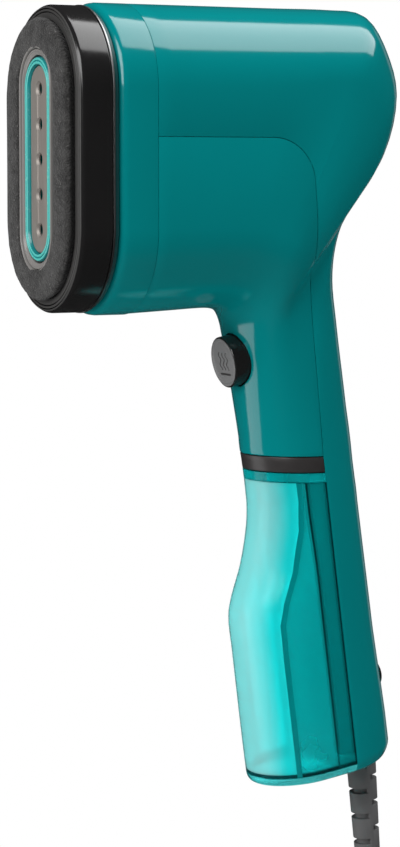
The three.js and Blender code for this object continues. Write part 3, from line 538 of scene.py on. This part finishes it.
# The front rim is painted a lighter satin grey and made rougher: partly a satin finish, partly a painted
# highlight for the light its grooves catch.
rim = 1 - y.rise(HEAD.y + 0.0003, HEAD.y + 0.0005)
depth = at.noise(30, 3).mix((0.007, 0.007, 0.0072, 1), (0.013, 0.0125, 0.0125, 1))
rim.mix(depth, (0.045, 0.044, 0.043, 1)).into(shader, "Base Color")
scuffs = at.noise(1800, 3).rise(0.62, 0.8)
(0.12 + 0.24 * rim + 0.07 * at.noise(400, 3) + 0.1 * scuffs).into(shader, "Roughness")
at.noise(60, 2).bump(0.0001, 0.25).into(shader, "Normal")
fitted(pad_frame, "pad", "black_gloss", black, "pad_frame")

# Trim: a thin bright metal ring at the frame's rear edge.
trim_shape = outline((0.02895, 0.0115, 0.0001), (0.02895, 0.0121, 0.0001), (0.02595, 0.0121, 0),
                     (0.02595, 0.0115, 0))
trim = head_piece("frame_trim_ring", trim_shape, 0.02125)
bright, shader, at, _ = new_material("bright_trim", Metallic=1.0, Base_Color=(0.27, 0.275, 0.275, 1))
(0.30 + 0.14 * at.noise(1600, 2)).into(shader, "Roughness")
fitted(trim, "pad", "bright_trim", bright, "frame_trim")


# ------------------------------------------------------------------ fabric pad
# A ring of short dark grey pile on foam, pressed into the frame, with a rolled edge that lies over the
# frame's rim. The foam swells it slightly, more along the middle of its width than at its edges.
pad_shape = outline((0.0234, 0.0046, 0), (0.0234, -0.0007, 0.0003), (0.0249, -0.0009, 0.0004),
                    (0.0249, -0.0036, 0.0016), (0.0138, -0.0036, 0.0012), (0.0136, 0.0046, 0))
pad = head_piece("fabric_pad_ring", pad_shape, TRAY_SIDE, LIP_SIDE, 0.014)
applied(pad, "REMESH", mode="VOXEL", voxel_size=0.0012)
still = [v.co.copy() for v in pad.data.vertices]
only(pad)
swell = pad.modifiers.new("swell", "CLOTH")
swell.settings.use_pressure = True
swell.settings.uniform_pressure_force = 4
swell.settings.effector_weights.gravity = 0
for moment in range(1, 21):
    bpy.context.scene.frame_set(moment)
bpy.ops.object.modifier_apply(modifier="swell")
bpy.context.scene.frame_set(1)
MOST_SWELL = 0.0007
for point, before in zip(pad.data.vertices, still):
    moved = point.co - before
    if moved.length > MOST_SWELL:
        point.co = before + moved.normalized() * MOST_SWELL
    if before.y > HEAD.y + 0.001:
        point.co = before
applied(pad, "SUBSURF", levels=1, render_levels=1)
pile, shader, at, (x, y, z) = new_material("pad_pile", Roughness=0.95, Specular_IOR_Level=0.08,
                                           Sheen_Weight=0.12, Sheen_Roughness=0.5)
tufts = at.spots(1500)
mottle = at.noise(330, 4, 0.75)
patches = at.noise(70, 2)
lint = at.noise(900, 2).rise(0.66, 0.74)
# Painted shade: the pad's sides and rolled edge behind its front face are painted near black.
crown_vs_painted_shade = 1 - y.rise(HEAD.y - 0.0026, HEAD.y - 0.0010)
wear = (mottle * 0.7 + 0.3 * patches).rise(0.3, 0.72)
worn = wear.mix((0.016, 0.0157, 0.0155, 1), (0.060, 0.059, 0.058, 1))
felt = lint.mix(worn, (0.10, 0.098, 0.096, 1))
crown_vs_painted_shade.mix((0.006, 0.006, 0.006, 1), felt).into(shader, "Base Color")
(tufts * 0.8 + mottle).bump(0.0005, 0.9).into(shader, "Normal")
fitted(pad, "pad", "pad_fabric", pile, "fabric_pad", angle=80)

# ------------------------------------------------------------------ the housing's outer form
# The form runs through stadium-shaped sections from the front of the head round to the foot of the handle.
# Each is given in millimetres by the ends of its middle line, (y, z) low and high, and by half its width.
HEAD_TOP, HEAD_UNDER = 136.05, 33.95
GRIP_HALF = 19.15
BODY_FRONT = -64.0
SLOPE = math.tan(math.radians(8.2))
BAND_TOP, BAND_FOOT = -14.6, -20.1


def front_line(z):
    return -GRIP_HALF - SLOPE * z


def back_line(z):
    return GRIP_HALF - SLOPE * z


def base_line(y):
    return -125.8 + math.tan(math.radians(8.6)) * (y - 11)


head_sections = [
    (BODY_FRONT, HEAD_UNDER + 0.2, BODY_FRONT, HEAD_TOP, 28.95), (-48, HEAD_UNDER + 1, -38, HEAD_TOP, 28.95),
    (-36, HEAD_UNDER + 1.6, -8, HEAD_TOP, 28.95), (-31.3, HEAD_UNDER + 1.4, 14, HEAD_TOP, 28.95),
    (-28.2, HEAD_UNDER + 0.6, 24, HEAD_TOP - 1.2, 28.95), (-26.1, HEAD_UNDER - 0.8, 30.6, 125.8, 28.5),
    (-24.6, HEAD_UNDER - 3, 34.8, 113.5, 27), (-23.5, HEAD_UNDER - 6.6, 32.4, 98.5, 24.4),
    (-22.8, 23, 23.6, 86, 21.8), (-22, 18, 16.7, 74.5, 20.1), (front_line(13), 13, 13, 62, 19.4),
    (front_line(8), 8, 12.1, 48.5, 19.1), (front_line(2), 2, 14.1, 33, GRIP_HALF),
    (front_line(-8), -8, back_line(8), 8, GRIP_HALF),
]
tank_sections = [
    (front_line(-17), -17, back_line(-17), -17, GRIP_HALF), (-14.8, -30, back_line(-29), -29, GRIP_HALF),
    (-14.7, -40, back_line(-38), -38, GRIP_HALF), (-17, -54, back_line(-50), -50, GRIP_HALF),
    (-20.4, -65, back_line(-60), -60, GRIP_HALF), (-21.6, -72, back_line(-67), -67, GRIP_HALF),
    (-20.3, -83, back_line(-77), -77, GRIP_HALF),
    (-14.6, base_line(-14.6) + 3, 36.6, base_line(36.8) + 6, GRIP_HALF),
    (-13.6, base_line(-14.6) + 0.7, 35.3, base_line(36.8) + 1.8, 18.5),
    (-11.6, base_line(-11.6), 33, base_line(33), 16.5),
]


def eased(sections, between):
    """The sections with more between them, on a smooth curve through them all."""
    rows = [Vector(s) for s in sections]
    place = [0.0]
    for a, b in zip(rows, rows[1:]):
        place.append(place[-1] + (math.dist(a[:2], b[:2]) + math.dist(a[2:4], b[2:4])) / 2)
    slope = []
    for i in range(len(rows)):
        a, b = max(i - 1, 0), min(i + 1, len(rows) - 1)
        slope.append((rows[b] - rows[a]) / (place[b] - place[a]))
    out = []
    for i in range(len(rows) - 1):
        span = place[i + 1] - place[i]
        for step in range(between + 1):
            t = step / (between + 1)
            out.append(rows[i] * (2 * t ** 3 - 3 * t ** 2 + 1) + slope[i] * span * (t ** 3 - 2 * t ** 2 + t)
                       + rows[i + 1] * (3 * t ** 2 - 2 * t ** 3) + slope[i + 1] * span * (t ** 3 - t ** 2))
    return out + [rows[-1]]


def body_form(name, sections, inset=0.0, between=3, sides=80):
    """A closed form with a circle for each section, its halves pulled apart, bridged to the one before."""
    bpy.ops.object.select_all(action="DESELECT")
    phase = Matrix.Rotation(math.pi / sides, 3, "Z")
    rows = eased(sections, between)
    piece = None
    for count, (y0, z0, y1, z1, half) in enumerate(rows):
        along = Vector((0, y1 - y0, z1 - z0)) * 0.001
        reach, radius = along.length / 2 - inset, half * 0.001 - inset
        along.normalize()
        turn = Matrix((Vector((1, 0, 0)), along, Vector((1, 0, 0)).cross(along))).transposed()
        middle = Vector((0, (y0 + y1) / 2, (z0 + z1) / 2)) * 0.001
        bpy.ops.mesh.primitive_circle_add(vertices=sides, radius=radius, rotation=(turn @ phase).to_euler(),
                                          location=middle, scale=(1, min(reach / radius, 1), 1))
        if piece is None:
            piece = bpy.context.object
            piece.name = name
            bpy.ops.object.transform_apply()
            bpy.ops.object.mode_set(mode="EDIT")
            bpy.ops.mesh.select_mode(type="VERT")
        mesh = bmesh.from_edit_mesh(piece.data)

        def pick(test):
            mesh.verts.ensure_lookup_table()
            for vert in mesh.verts:
                vert.select = False
            for vert in mesh.verts[max(count - 1, 0) * sides:(count + 1) * sides]:
                vert.select = test(vert)
            mesh.select_flush_mode()

        new = count * sides
        for side in (-1, 1) if reach > radius else ():
            pick(lambda vert: vert.index >= new and (vert.co - middle).dot(along) * side > 0)
            bpy.ops.transform.translate(value=along * side * (reach - radius))
        if count:
            pick(lambda vert: True)
            bpy.ops.mesh.bridge_edge_loops()
        if count in (0, len(rows) - 1):
            pick(lambda vert: vert.index >= new)
            bpy.ops.mesh.edge_face_add()
    bpy.ops.mesh.select_all(action="SELECT")
    bpy.ops.mesh.normals_make_consistent(inside=False)
    bpy.ops.object.mode_set(mode="OBJECT")
    return piece


def side_block(name, *corners, width=0.1):
    """A block across the steamer, cut to an outline of (y, z) corners in millimetres."""
    drawn = bpy.data.curves.new(name, "CURVE")
    drawn.dimensions = "2D"
    drawn.fill_mode = "BOTH"
    drawn.extrude = width / 2
    line = drawn.splines.new("POLY")
    line.points.add(len(corners) - 1)
    for point, (y, z) in zip(line.points, corners):
        point.co = (y * 0.001, z * 0.001, 0, 1)
    line.use_cyclic_u = True
    piece = bpy.data.objects.new(name, drawn)
    bpy.context.scene.collection.objects.link(piece)
    piece.matrix_world = Matrix(((0, 0, 1, 0), (1, 0, 0, 0), (0, 1, 0, 0), (0, 0, 0, 1)))
    only(piece)
    bpy.ops.object.convert(target="MESH")
    piece = bpy.context.object
    bpy.ops.object.transform_apply()
    bpy.ops.object.mode_set(mode="EDIT")
    bpy.ops.mesh.select_all(action="SELECT")
    bpy.ops.mesh.remove_doubles(threshold=1e-6)
    bpy.ops.mesh.normals_make_consistent(inside=False)
    bpy.ops.object.mode_set(mode="OBJECT")
    return piece


def edged(piece, width):
    """Rounds the sharp edges of the piece by a hair."""
    applied(piece, "BEVEL", width=width, segments=2, limit_method="ANGLE", angle_limit=math.radians(45),
            use_clamp_overlap=False)


def copy_of(piece, name):
    other = piece.copy()
    other.data = piece.data.copy()
    other.name = name
    bpy.context.scene.collection.objects.link(other)
    return other


# The seam line runs back along the head's sides, turns down, and follows the handle to its foot.
# A cutting block reaches as far as FAR, past the steamer.
GAP, SEAM = 0.3, 0.12
WALL, FAR = 2.2, 220
TANK_TOP = BAND_FOOT - GAP


def spine_face(z):
    return 2.3 + 0.13 * (BAND_TOP - z)


def ahead_of_seam(name, shift=0.0):
    arc = [(-22 + shift + 15.5 * math.cos(a * math.pi / 24), 76.7 + shift + 15.5 * math.sin(a * math.pi / 24))
           for a in range(12, -1, -1)]
    return side_block(name, (-FAR, 92.2 + shift), *arc, (2.3 + shift, BAND_TOP),
                      (spine_face(-FAR) + shift, -FAR), (-FAR, -FAR))


def slab(name, top, foot):
    return side_block(name, (-FAR, foot), (FAR, foot), (FAR, top), (-FAR, top))


def along_spine(name, ahead, behind, top, foot):
    return side_block(name, (spine_face(top) + ahead, top), (spine_face(foot) + ahead, foot),
                      (spine_face(foot) + behind, foot), (spine_face(top) + behind, top))


outer_form = body_form("outer_form", head_sections + tank_sections)
mouth = (BODY_FRONT - 1, HEAD_UNDER, BODY_FRONT - 1, HEAD_TOP, 28.95)
# Behind the head the sections run almost along the wall, so there the hollow is drawn in by a wall's
# thickness.
hollow = [(y0, z0, y1 - (WALL if 60 < z1 < 114 else 0), z1, half) for y0, z0, y1, z1, half in head_sections]
cavity = body_form("cavity", [mouth] + hollow + tank_sections, inset=WALL * 0.001, sides=64)
foot_front = spine_face(-115) + GAP + WALL
cut(cavity, "INTERSECT", side_block("room", (-FAR, FAR), (FAR, FAR), (FAR, base_line(FAR) + WALL),
                                    (foot_front, base_line(foot_front) + WALL), (4.8, BAND_TOP - WALL),
                                    (4.8, BAND_TOP), (-FAR, BAND_TOP)))
housing = copy_of(outer_form, "housing_walls")
cut(housing, "DIFFERENCE", cavity)


# ------------------------------------------------------------------ front shell
# The lower part of the head and the front of the grip, moulded in one polished piece with a round hole for
# the trigger. Its seams are rounded by a hair, so they catch the light.
TRIGGER_TILT = math.radians(10.9)
TRIGGER_WAY = Vector((0, math.cos(TRIGGER_TILT), math.sin(TRIGGER_TILT)))
TRIGGER = Vector((0, -0.026, 0.0168))
into_trigger = TRIGGER_WAY.to_track_quat("Z", "Y").to_matrix()

front_shell = copy_of(housing, "front_shell_moulding")
cut(front_shell, "INTERSECT", ahead_of_seam("ahead"))
cut(front_shell, "INTERSECT", slab("above_band", FAR, BAND_TOP))
cut(front_shell, "DIFFERENCE", turned("bore", [(0.0092, -0.006), (0.0092, 0.014)], TRIGGER, into_trigger, 64))
edged(front_shell, 0.0002)
fitted(front_shell, "housing", "teal_gloss", teal, "front_shell", angle=30)


# ------------------------------------------------------------------ back shell
# The roof of the head, its back, and the spine of the handle in one piece, with the tongue that the tank
# slides on, a hole for the power button and a hole for the strain relief.
POWER_HEIGHT = -94.7
LEAN = math.radians(8.2)
POWER_OUT = Vector((0, math.cos(LEAN), math.sin(LEAN)))
POWER = Vector((0, back_line(POWER_HEIGHT), POWER_HEIGHT)) * 0.001
out_of_spine = POWER_OUT.to_track_quat("Z", "Y").to_matrix()
TANK_WALL, TANK_FLANGE, TONGUE_FOOT = 1.8, 7.0, -118
tongue_face = TANK_WALL + GAP - TANK_FLANGE

back_shell = copy_of(housing, "back_shell_moulding")
cut(back_shell, "DIFFERENCE", ahead_of_seam("ahead", SEAM))
tongue = body_form("tongue", tank_sections, inset=(TANK_WALL + GAP) * 0.001, between=1, sides=48)
cut(tongue, "INTERSECT", along_spine("tongue_block", tongue_face, WALL, TANK_TOP, TONGUE_FOOT))
cut(back_shell, "UNION", tongue)
tongue_room = body_form("tongue_room", tank_sections, inset=(TANK_WALL + GAP + WALL) * 0.001, between=1,
                        sides=48)
cut(tongue_room, "INTERSECT", along_spine("room_block", tongue_face + WALL, GAP + 2 * WALL, TANK_TOP - WALL,
                                          TONGUE_FOOT + WALL))
cut(back_shell, "DIFFERENCE", tongue_room)
cut(back_shell, "DIFFERENCE", turned("bore", [(0.0053, -0.006), (0.0053, 0.004)], POWER, out_of_spine, 48))
bore = turned("bore", [(0.0056, -0.002), (0.0056, 0.012)], RELIEF_TOP, down_the_lead, 48)
cut(back_shell, "DIFFERENCE", bore)
edged(back_shell, 0.0002)
fitted(back_shell, "housing", "teal_gloss", teal, "back_shell", angle=30)


# ------------------------------------------------------------------ handle band
# A satin black plate between the grip and the tank.
satin, shader, at, _ = new_material("satin_black", Specular_IOR_Level=0.5)
at.noise(120, 3).mix((0.022, 0.020, 0.020, 1), (0.034, 0.031, 0.031, 1)).into(shader, "Base Color")
(0.30 + 0.12 * at.noise(900, 3)).into(shader, "Roughness")
at.noise(1500, 2).bump(0.00003, 0.5).into(shader, "Normal")
band = copy_of(outer_form, "handle_band_plate")
cut(band, "INTERSECT", ahead_of_seam("ahead"))
cut(band, "INTERSECT", slab("band_slab", BAND_TOP - GAP, BAND_FOOT))
cut(band, "DIFFERENCE", turned("bore", [(0.0041, -0.01), (0.0041, 0.01)], (-0.0065, -0.0078, -0.0175),
                               Matrix.Identity(3), 32))
edged(band, 0.00025)
fitted(band, "housing", "black_satin", satin, "handle_band", angle=30)


# ------------------------------------------------------------------ water tank
# Clear tinted plastic, moulded as a front and a rear half that are welded along a line that follows the
# front, with a floor and a roof welded in. Its hollow back is the channel for the spine's tongue.
TANK_ROOF, TANK_FLOOR, TANK_WELD, WELD_HALF, TOUCH = 3.0, 3.0, 9.9, 0.8, 0.05
FOOT_LEVEL = (base_line(0) + TANK_FLOOR) * 0.001
FOOT_SLOPE = base_line(1) - base_line(0)
DARK_JOINT = (0.0, 0.085, 0.092, 1)


def clear_plastic(name, low, high, clear=0.8, wall=False, rear=False, nose=None):
    """Clear plastic with faint upright streaks from the mould, tinted between two colours, with painted shade
    at its rounded edges where the surface turns away from the eye. A wall darkens along its glued foot, the
    rear half also along the spine and its channel, and the front half pales towards the colour of its nose, a
    painted highlight where its face turns forward."""
    made, shader, at, (x, y, z) = new_material(name, Transmission_Weight=clear, IOR=1.25,
                                               Specular_IOR_Level=0.4)
    tint = at.stretched(1, 1, 0.25).noise(60, 3).mix(low, high)
    # Painted highlight: where the front half's face turns forward it pales towards the nose colour.
    if nose:
        facing = at.node("SeparateXYZ", {}, {"Vector": at.node("TexCoord", {}, {}, "Normal")}, "Y")
        tint = (1 - facing.rise(-0.97, -0.62)).mix(tint, nose)
    if rear:
        ahead = y + SPINE_LEAN * z - SPINE_PLACE
        tint = ahead.rise(-0.0071, -0.0067).mix(tint, (0.0, 0.50, 0.51, 1))
        tint = (1 - abs(ahead + 0.0071).rise(0.0002, 0.0005)).mix(tint, DARK_JOINT)
        tint = ahead.rise(-0.0008, -0.0004).mix(tint, DARK_JOINT)
    if wall:
        tint = (z - FOOT_SLOPE * y - FOOT_LEVEL).rise(0.0013, 0.0018).mix(DARK_JOINT, tint)
    # Painted shade: the colour darkens towards a dark teal where the surface turns away from the eye, at the
    # rounded edges.
    edge = at.node("LayerWeight", {}, {"Blend": 0.5}, "Facing").rise(0.80, 0.97)
    edge.mix(tint, (0.0, 0.30, 0.31, 1)).into(shader, "Base Color")
    (0.16 + 0.14 * at.noise(40, 3).rise(0.4, 0.8)).into(shader, "Roughness")
    (at.noise(70, 2) * 0.5).bump(0.0002, 0.3).into(shader, "Normal")
    return made


# The front half's nose colour is its painted highlight.
clear_front = clear_plastic("clear_teal_front", (0.0, 0.86, 0.87, 1), (0.03, 0.94, 0.94, 1), 0.62, wall=True,
                            nose=(0.42, 0.90, 0.90, 1))
clear_weld = clear_plastic("clear_teal_weld", (0.0, 0.34, 0.35, 1), (0.0, 0.42, 0.43, 1), 0.6)
clear_rear = clear_plastic("clear_teal_rear", (0.0, 0.86, 0.87, 1), (0.01, 0.96, 0.97, 1), 0.78, wall=True,
                           rear=True)
clear_floor = clear_plastic("clear_teal_floor", (0.05, 0.80, 0.81, 1), (0.12, 0.88, 0.88, 1))
clear_roof = clear_plastic("clear_teal_roof", (0.0, 0.56, 0.57, 1), (0.004, 0.70, 0.71, 1), 0.7)
clear_tube = clear_plastic("clear_tube", (0.10, 0.86, 0.86, 1), (0.22, 0.93, 0.93, 1))

roof_line = TANK_TOP - TANK_ROOF
SOCKET, FILLER = (-0.0065, -0.0078), (0.0065, -0.0082)


def below_floor(name, lift=0.0):
    return side_block(name, (-FAR, base_line(-FAR) + TANK_FLOOR + lift), (-FAR, -2 * FAR), (FAR, -2 * FAR),
                      (FAR, base_line(FAR) + TANK_FLOOR + lift))


def ahead_of_weld(name, shift=0.0):
    line = [(min(y, -14.6) + TANK_WELD + shift, z) for y, z, *_ in tank_sections]
    return side_block(name, (-FAR, 0), (line[0][0], 0), *line[:-1], (line[-1][0], -FAR), (-FAR, -FAR))


block = copy_of(outer_form, "tank_block")
cut(block, "INTERSECT", ahead_of_seam("ahead"))
cut(block, "INTERSECT", slab("below_band", TANK_TOP, -FAR))
inside = body_form("tank_inside", tank_sections, inset=TANK_WALL * 0.001, between=2, sides=64)
water = copy_of(inside, "water")
cut(water, "INTERSECT", along_spine("water_block", -FAR, -TANK_FLANGE, 0, -FAR))
channel = inside
cut(channel, "INTERSECT", along_spine("channel_block", TANK_WALL - TANK_FLANGE, FAR, 0, TONGUE_FOOT - GAP))
walls = copy_of(block, "tank_walls")
cut(walls, "INTERSECT", slab("below_roof", roof_line - GAP, -FAR))
cut(walls, "DIFFERENCE", below_floor("floor_block", GAP))
cut(walls, "DIFFERENCE", water)
cut(walls, "DIFFERENCE", channel, keep_tool=True)

tank_front = copy_of(walls, "tank_front_half")
cut(tank_front, "INTERSECT", ahead_of_weld("weld", -WELD_HALF))
tank_weld = copy_of(walls, "tank_weld_bead")
cut(tank_weld, "INTERSECT", ahead_of_weld("weld", WELD_HALF))
cut(tank_weld, "DIFFERENCE", ahead_of_weld("weld", TOUCH - WELD_HALF))
tank_rear = walls
tank_rear.name = "tank_rear_half"
cut(tank_rear, "DIFFERENCE", ahead_of_weld("weld", WELD_HALF + TOUCH))
tank_floor = copy_of(block, "tank_floor_plate")
cut(tank_floor, "INTERSECT", below_floor("floor_block"))
tank_roof = block
tank_roof.name = "tank_roof_plate"
cut(tank_roof, "INTERSECT", slab("roof_slab", TANK_TOP, roof_line))
cut(tank_roof, "DIFFERENCE", channel)
for spot, radius in ((SOCKET, 0.0039), (FILLER, 0.0034)):
    cut(tank_roof, "DIFFERENCE", turned("bore", [(radius, -0.01), (radius, 0.01)], (*spot, TANK_TOP * 0.001),
                                        Matrix.Identity(3), 32))
for piece, plastic, node in ((tank_front, clear_front, "tank_front"), (tank_rear, clear_rear, "tank_rear"),
                             (tank_weld, clear_weld, "tank_rear"), (tank_floor, clear_floor, "tank_floor"),
                             (tank_roof, clear_roof, "tank_roof")):
    fitted(piece, "tank", "teal_clear", plastic, node, angle=30)
bpy.data.objects.remove(housing)
bpy.data.objects.remove(outer_form)


# ------------------------------------------------------------------ trigger
# A round black button with a satin face, a fine raised rim and a drawn sign of three rising wisps of steam.
trigger_shape = outline((0.0004, 0.0002, 0), (0.0072, 0.0002, 0.0004), (0.0076, -0.0001, 0.0002),
                        (0.0088, 0.0, 0.0006), (0.0088, 0.0120, 0.0004), (0.0066, 0.0120, 0),
                        (0.0066, 0.0040, 0), (0.0015, 0.0040, 0), (0.0015, 0.0112, 0))
button = turned("trigger_cap", trigger_shape, TRIGGER, into_trigger, 72)
face_paint, shader, at, (x, y, z) = new_material("trigger_face", Specular_IOR_Level=0.5)
out = (y - TRIGGER.y) * TRIGGER_WAY.y + (z - TRIGGER.z) * TRIGGER_WAY.z
up = (z - TRIGGER.z) * TRIGGER_WAY.y - (y - TRIGGER.y) * TRIGGER_WAY.z
radial = (x * x + up * up).math("SQRT", x * x + up * up)
face = (1 - radial.rise(0.0081, 0.0084)) * (1 - out.rise(0.0006, 0.0009))
wisps = None
for offset in (-0.0024, 0.0, 0.0024):
    line = 1 - abs(x - offset - 0.0006 * (up * 1900).math("SINE", up * 1900)).rise(0.00022, 0.00038)
    wisps = line if wisps is None else wisps.math("MAXIMUM", wisps, line)
wisps = wisps * (1 - abs(up - 0.0004).rise(0.0030, 0.0032))
bar = (1 - abs(x).rise(0.0036, 0.0038)) * (1 - abs(up + 0.0041).rise(0.0003, 0.00045))
sign = wisps.math("MAXIMUM", wisps, bar) * face
grain = at.noise(1300, 3)
shade = face.mix((0.012, 0.012, 0.012, 1), (0.18, 0.18, 0.182, 1))
sign.mix(shade, (0.035, 0.034, 0.034, 1)).into(shader, "Base Color")
(0.16 + 0.12 * face + 0.08 * grain).into(shader, "Roughness")
(grain * 0.2 - sign).bump(0.00015, 0.6).into(shader, "Normal")
fitted(button, "trigger", "black_satin", face_paint, "trigger_button", angle=30)


# ------------------------------------------------------------------ power button
# A small domed black button in the back of the spine.
dome = [(0.0004, 0.0021), (0.0018, 0.00208), (0.0032, 0.0020), (0.0042, 0.0017), (0.0047, 0.0013),
        (0.0049, 0.0008), (0.0049, -0.0047), (0.0040, -0.0047)]
power = turned("power_cap", dome, POWER, out_of_spine, 64)
fitted(power, "power", "black_gloss", black, "power_button")


# ------------------------------------------------------------------ works inside
# The boiler, pump, switches, board and hoses sit inside the housing, and the tank's seal, stopper and pick-up
# tube in the tank. Each keeps its shape and gets the finish of what it is made of.
def inner_finish(name, low, high, roughness, fine, nodes, **constants):
    """Makes a finish with cloudy colour and a fine grain, and gives it to the nodes."""
    made, shader, at, _ = new_material(name, **constants)
    at.noise(80, 3).mix(low, high).into(shader, "Base Color")
    grain = at.noise(fine, 3)
    (roughness - 0.08 + 0.16 * grain).into(shader, "Roughness")
    grain.bump(0.00008, 0.5).into(shader, "Normal")
    for node in nodes:
        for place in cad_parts[node].material_slots:
            place.material = made
    return made


inner_finish("die_cast_aluminium", (0.46, 0.47, 0.48, 1), (0.62, 0.63, 0.64, 1), 0.42, 900,
             ("boiler_cover", "boiler_base"), Metallic=0.95)
steel = inner_finish("plain_steel", (0.42, 0.43, 0.44, 1), (0.58, 0.59, 0.60, 1), 0.30, 1500,
                     ("heating_element", "element_clamp", "clamp_screw", "ring_screw_upper",
                      "ring_screw_lower", "pump_plunger", "cord_clamp_screw"), Metallic=1.0)
inner_finish("stamped_brass", (0.50, 0.36, 0.12, 1), (0.64, 0.48, 0.20, 1), 0.32, 1200, ("thermostat",),
             Metallic=1.0)
inner_finish("wound_copper", (0.42, 0.16, 0.07, 1), (0.60, 0.26, 0.12, 1), 0.38, 2400, ("pump_coil",),
             Metallic=0.8)
inner_finish("milky_silicone", (0.66, 0.62, 0.56, 1), (0.78, 0.75, 0.70, 1), 0.5, 700,
             ("steam_duct", "boiler_gasket", "outlet_hose", "inlet_hose", "outlet_seal"))
inner_finish("natural_plastic", (0.58, 0.58, 0.55, 1), (0.68, 0.68, 0.65, 1), 0.45, 1000,
             ("tank_socket", "thermal_fuse", "boiler_mount_upper", "boiler_mount_lower", "pump_body",
              "switch_holder", "cord_clamp"))
inner_finish("teal_manifold", (0.02, 0.50, 0.48, 1), (0.04, 0.62, 0.60, 1), 0.3, 900, ("steam_manifold",))
inner_finish("switch_case", (0.016, 0.016, 0.017, 1), (0.03, 0.03, 0.031, 1), 0.45, 900,
             ("trigger_switch", "power_switch", "board_relay"))
inner_finish("coated_board", (0.012, 0.09, 0.045, 1), (0.02, 0.14, 0.07, 1), 0.35, 500, ("control_board",))
for node, finish in (("pump_mount_lower", moulded_rubber), ("pump_mount_upper", moulded_rubber),
                     ("filler_stopper", moulded_rubber), ("inner_lead", sheath), ("pickup_tube", clear_tube)):
    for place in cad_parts[node].material_slots:
        place.material = finish


# ------------------------------------------------------------------ springs
# Two coils of steel wire, one behind the trigger and one over the pump's plunger.
def wound_spring(name, near, far, radius, wire, node, turns=4):
    bpy.ops.object.select_all(action="DESELECT")
    way = far - near
    bpy.ops.mesh.primitive_circle_add(vertices=10, radius=wire, location=(radius, 0, wire),
                                      rotation=(math.pi / 2, 0, 0))
    piece = bpy.context.object
    piece.name = name
    bpy.ops.object.transform_apply()
    applied(piece, "SCREW", axis="Z", angle=2 * math.pi, iterations=turns, steps=28, render_steps=28,
            screw_offset=(way.length - 2 * wire) / turns)
    bpy.ops.object.mode_set(mode="EDIT")
    bpy.ops.mesh.select_mode(type="EDGE")
    bpy.ops.mesh.select_all(action="DESELECT")
    bpy.ops.mesh.select_non_manifold()
    bpy.ops.mesh.edge_face_add()
    bpy.ops.mesh.select_all(action="SELECT")
    bpy.ops.mesh.normals_make_consistent(inside=False)
    bpy.ops.object.mode_set(mode="OBJECT")
    piece.matrix_world = Matrix.Translation(near) @ way.to_track_quat("Z", "Y").to_matrix().to_4x4()
    only(piece)
    bpy.ops.object.transform_apply()
    fitted(piece, "housing", "steel", steel, node)
    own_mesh(piece)


WIRE = 0.0004
wound_spring("trigger_return_spring", TRIGGER + TRIGGER_WAY * 0.0048, TRIGGER + TRIGGER_WAY * 0.0144, 0.0046,
             WIRE, "trigger_spring")
low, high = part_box("pump_spring")
middle = (low + high) / 2
wound_spring("plunger_return_spring", Vector((middle.x, middle.y, low.z)),
             Vector((middle.x, middle.y, high.z)), 0.0032, WIRE, "pump_spring")
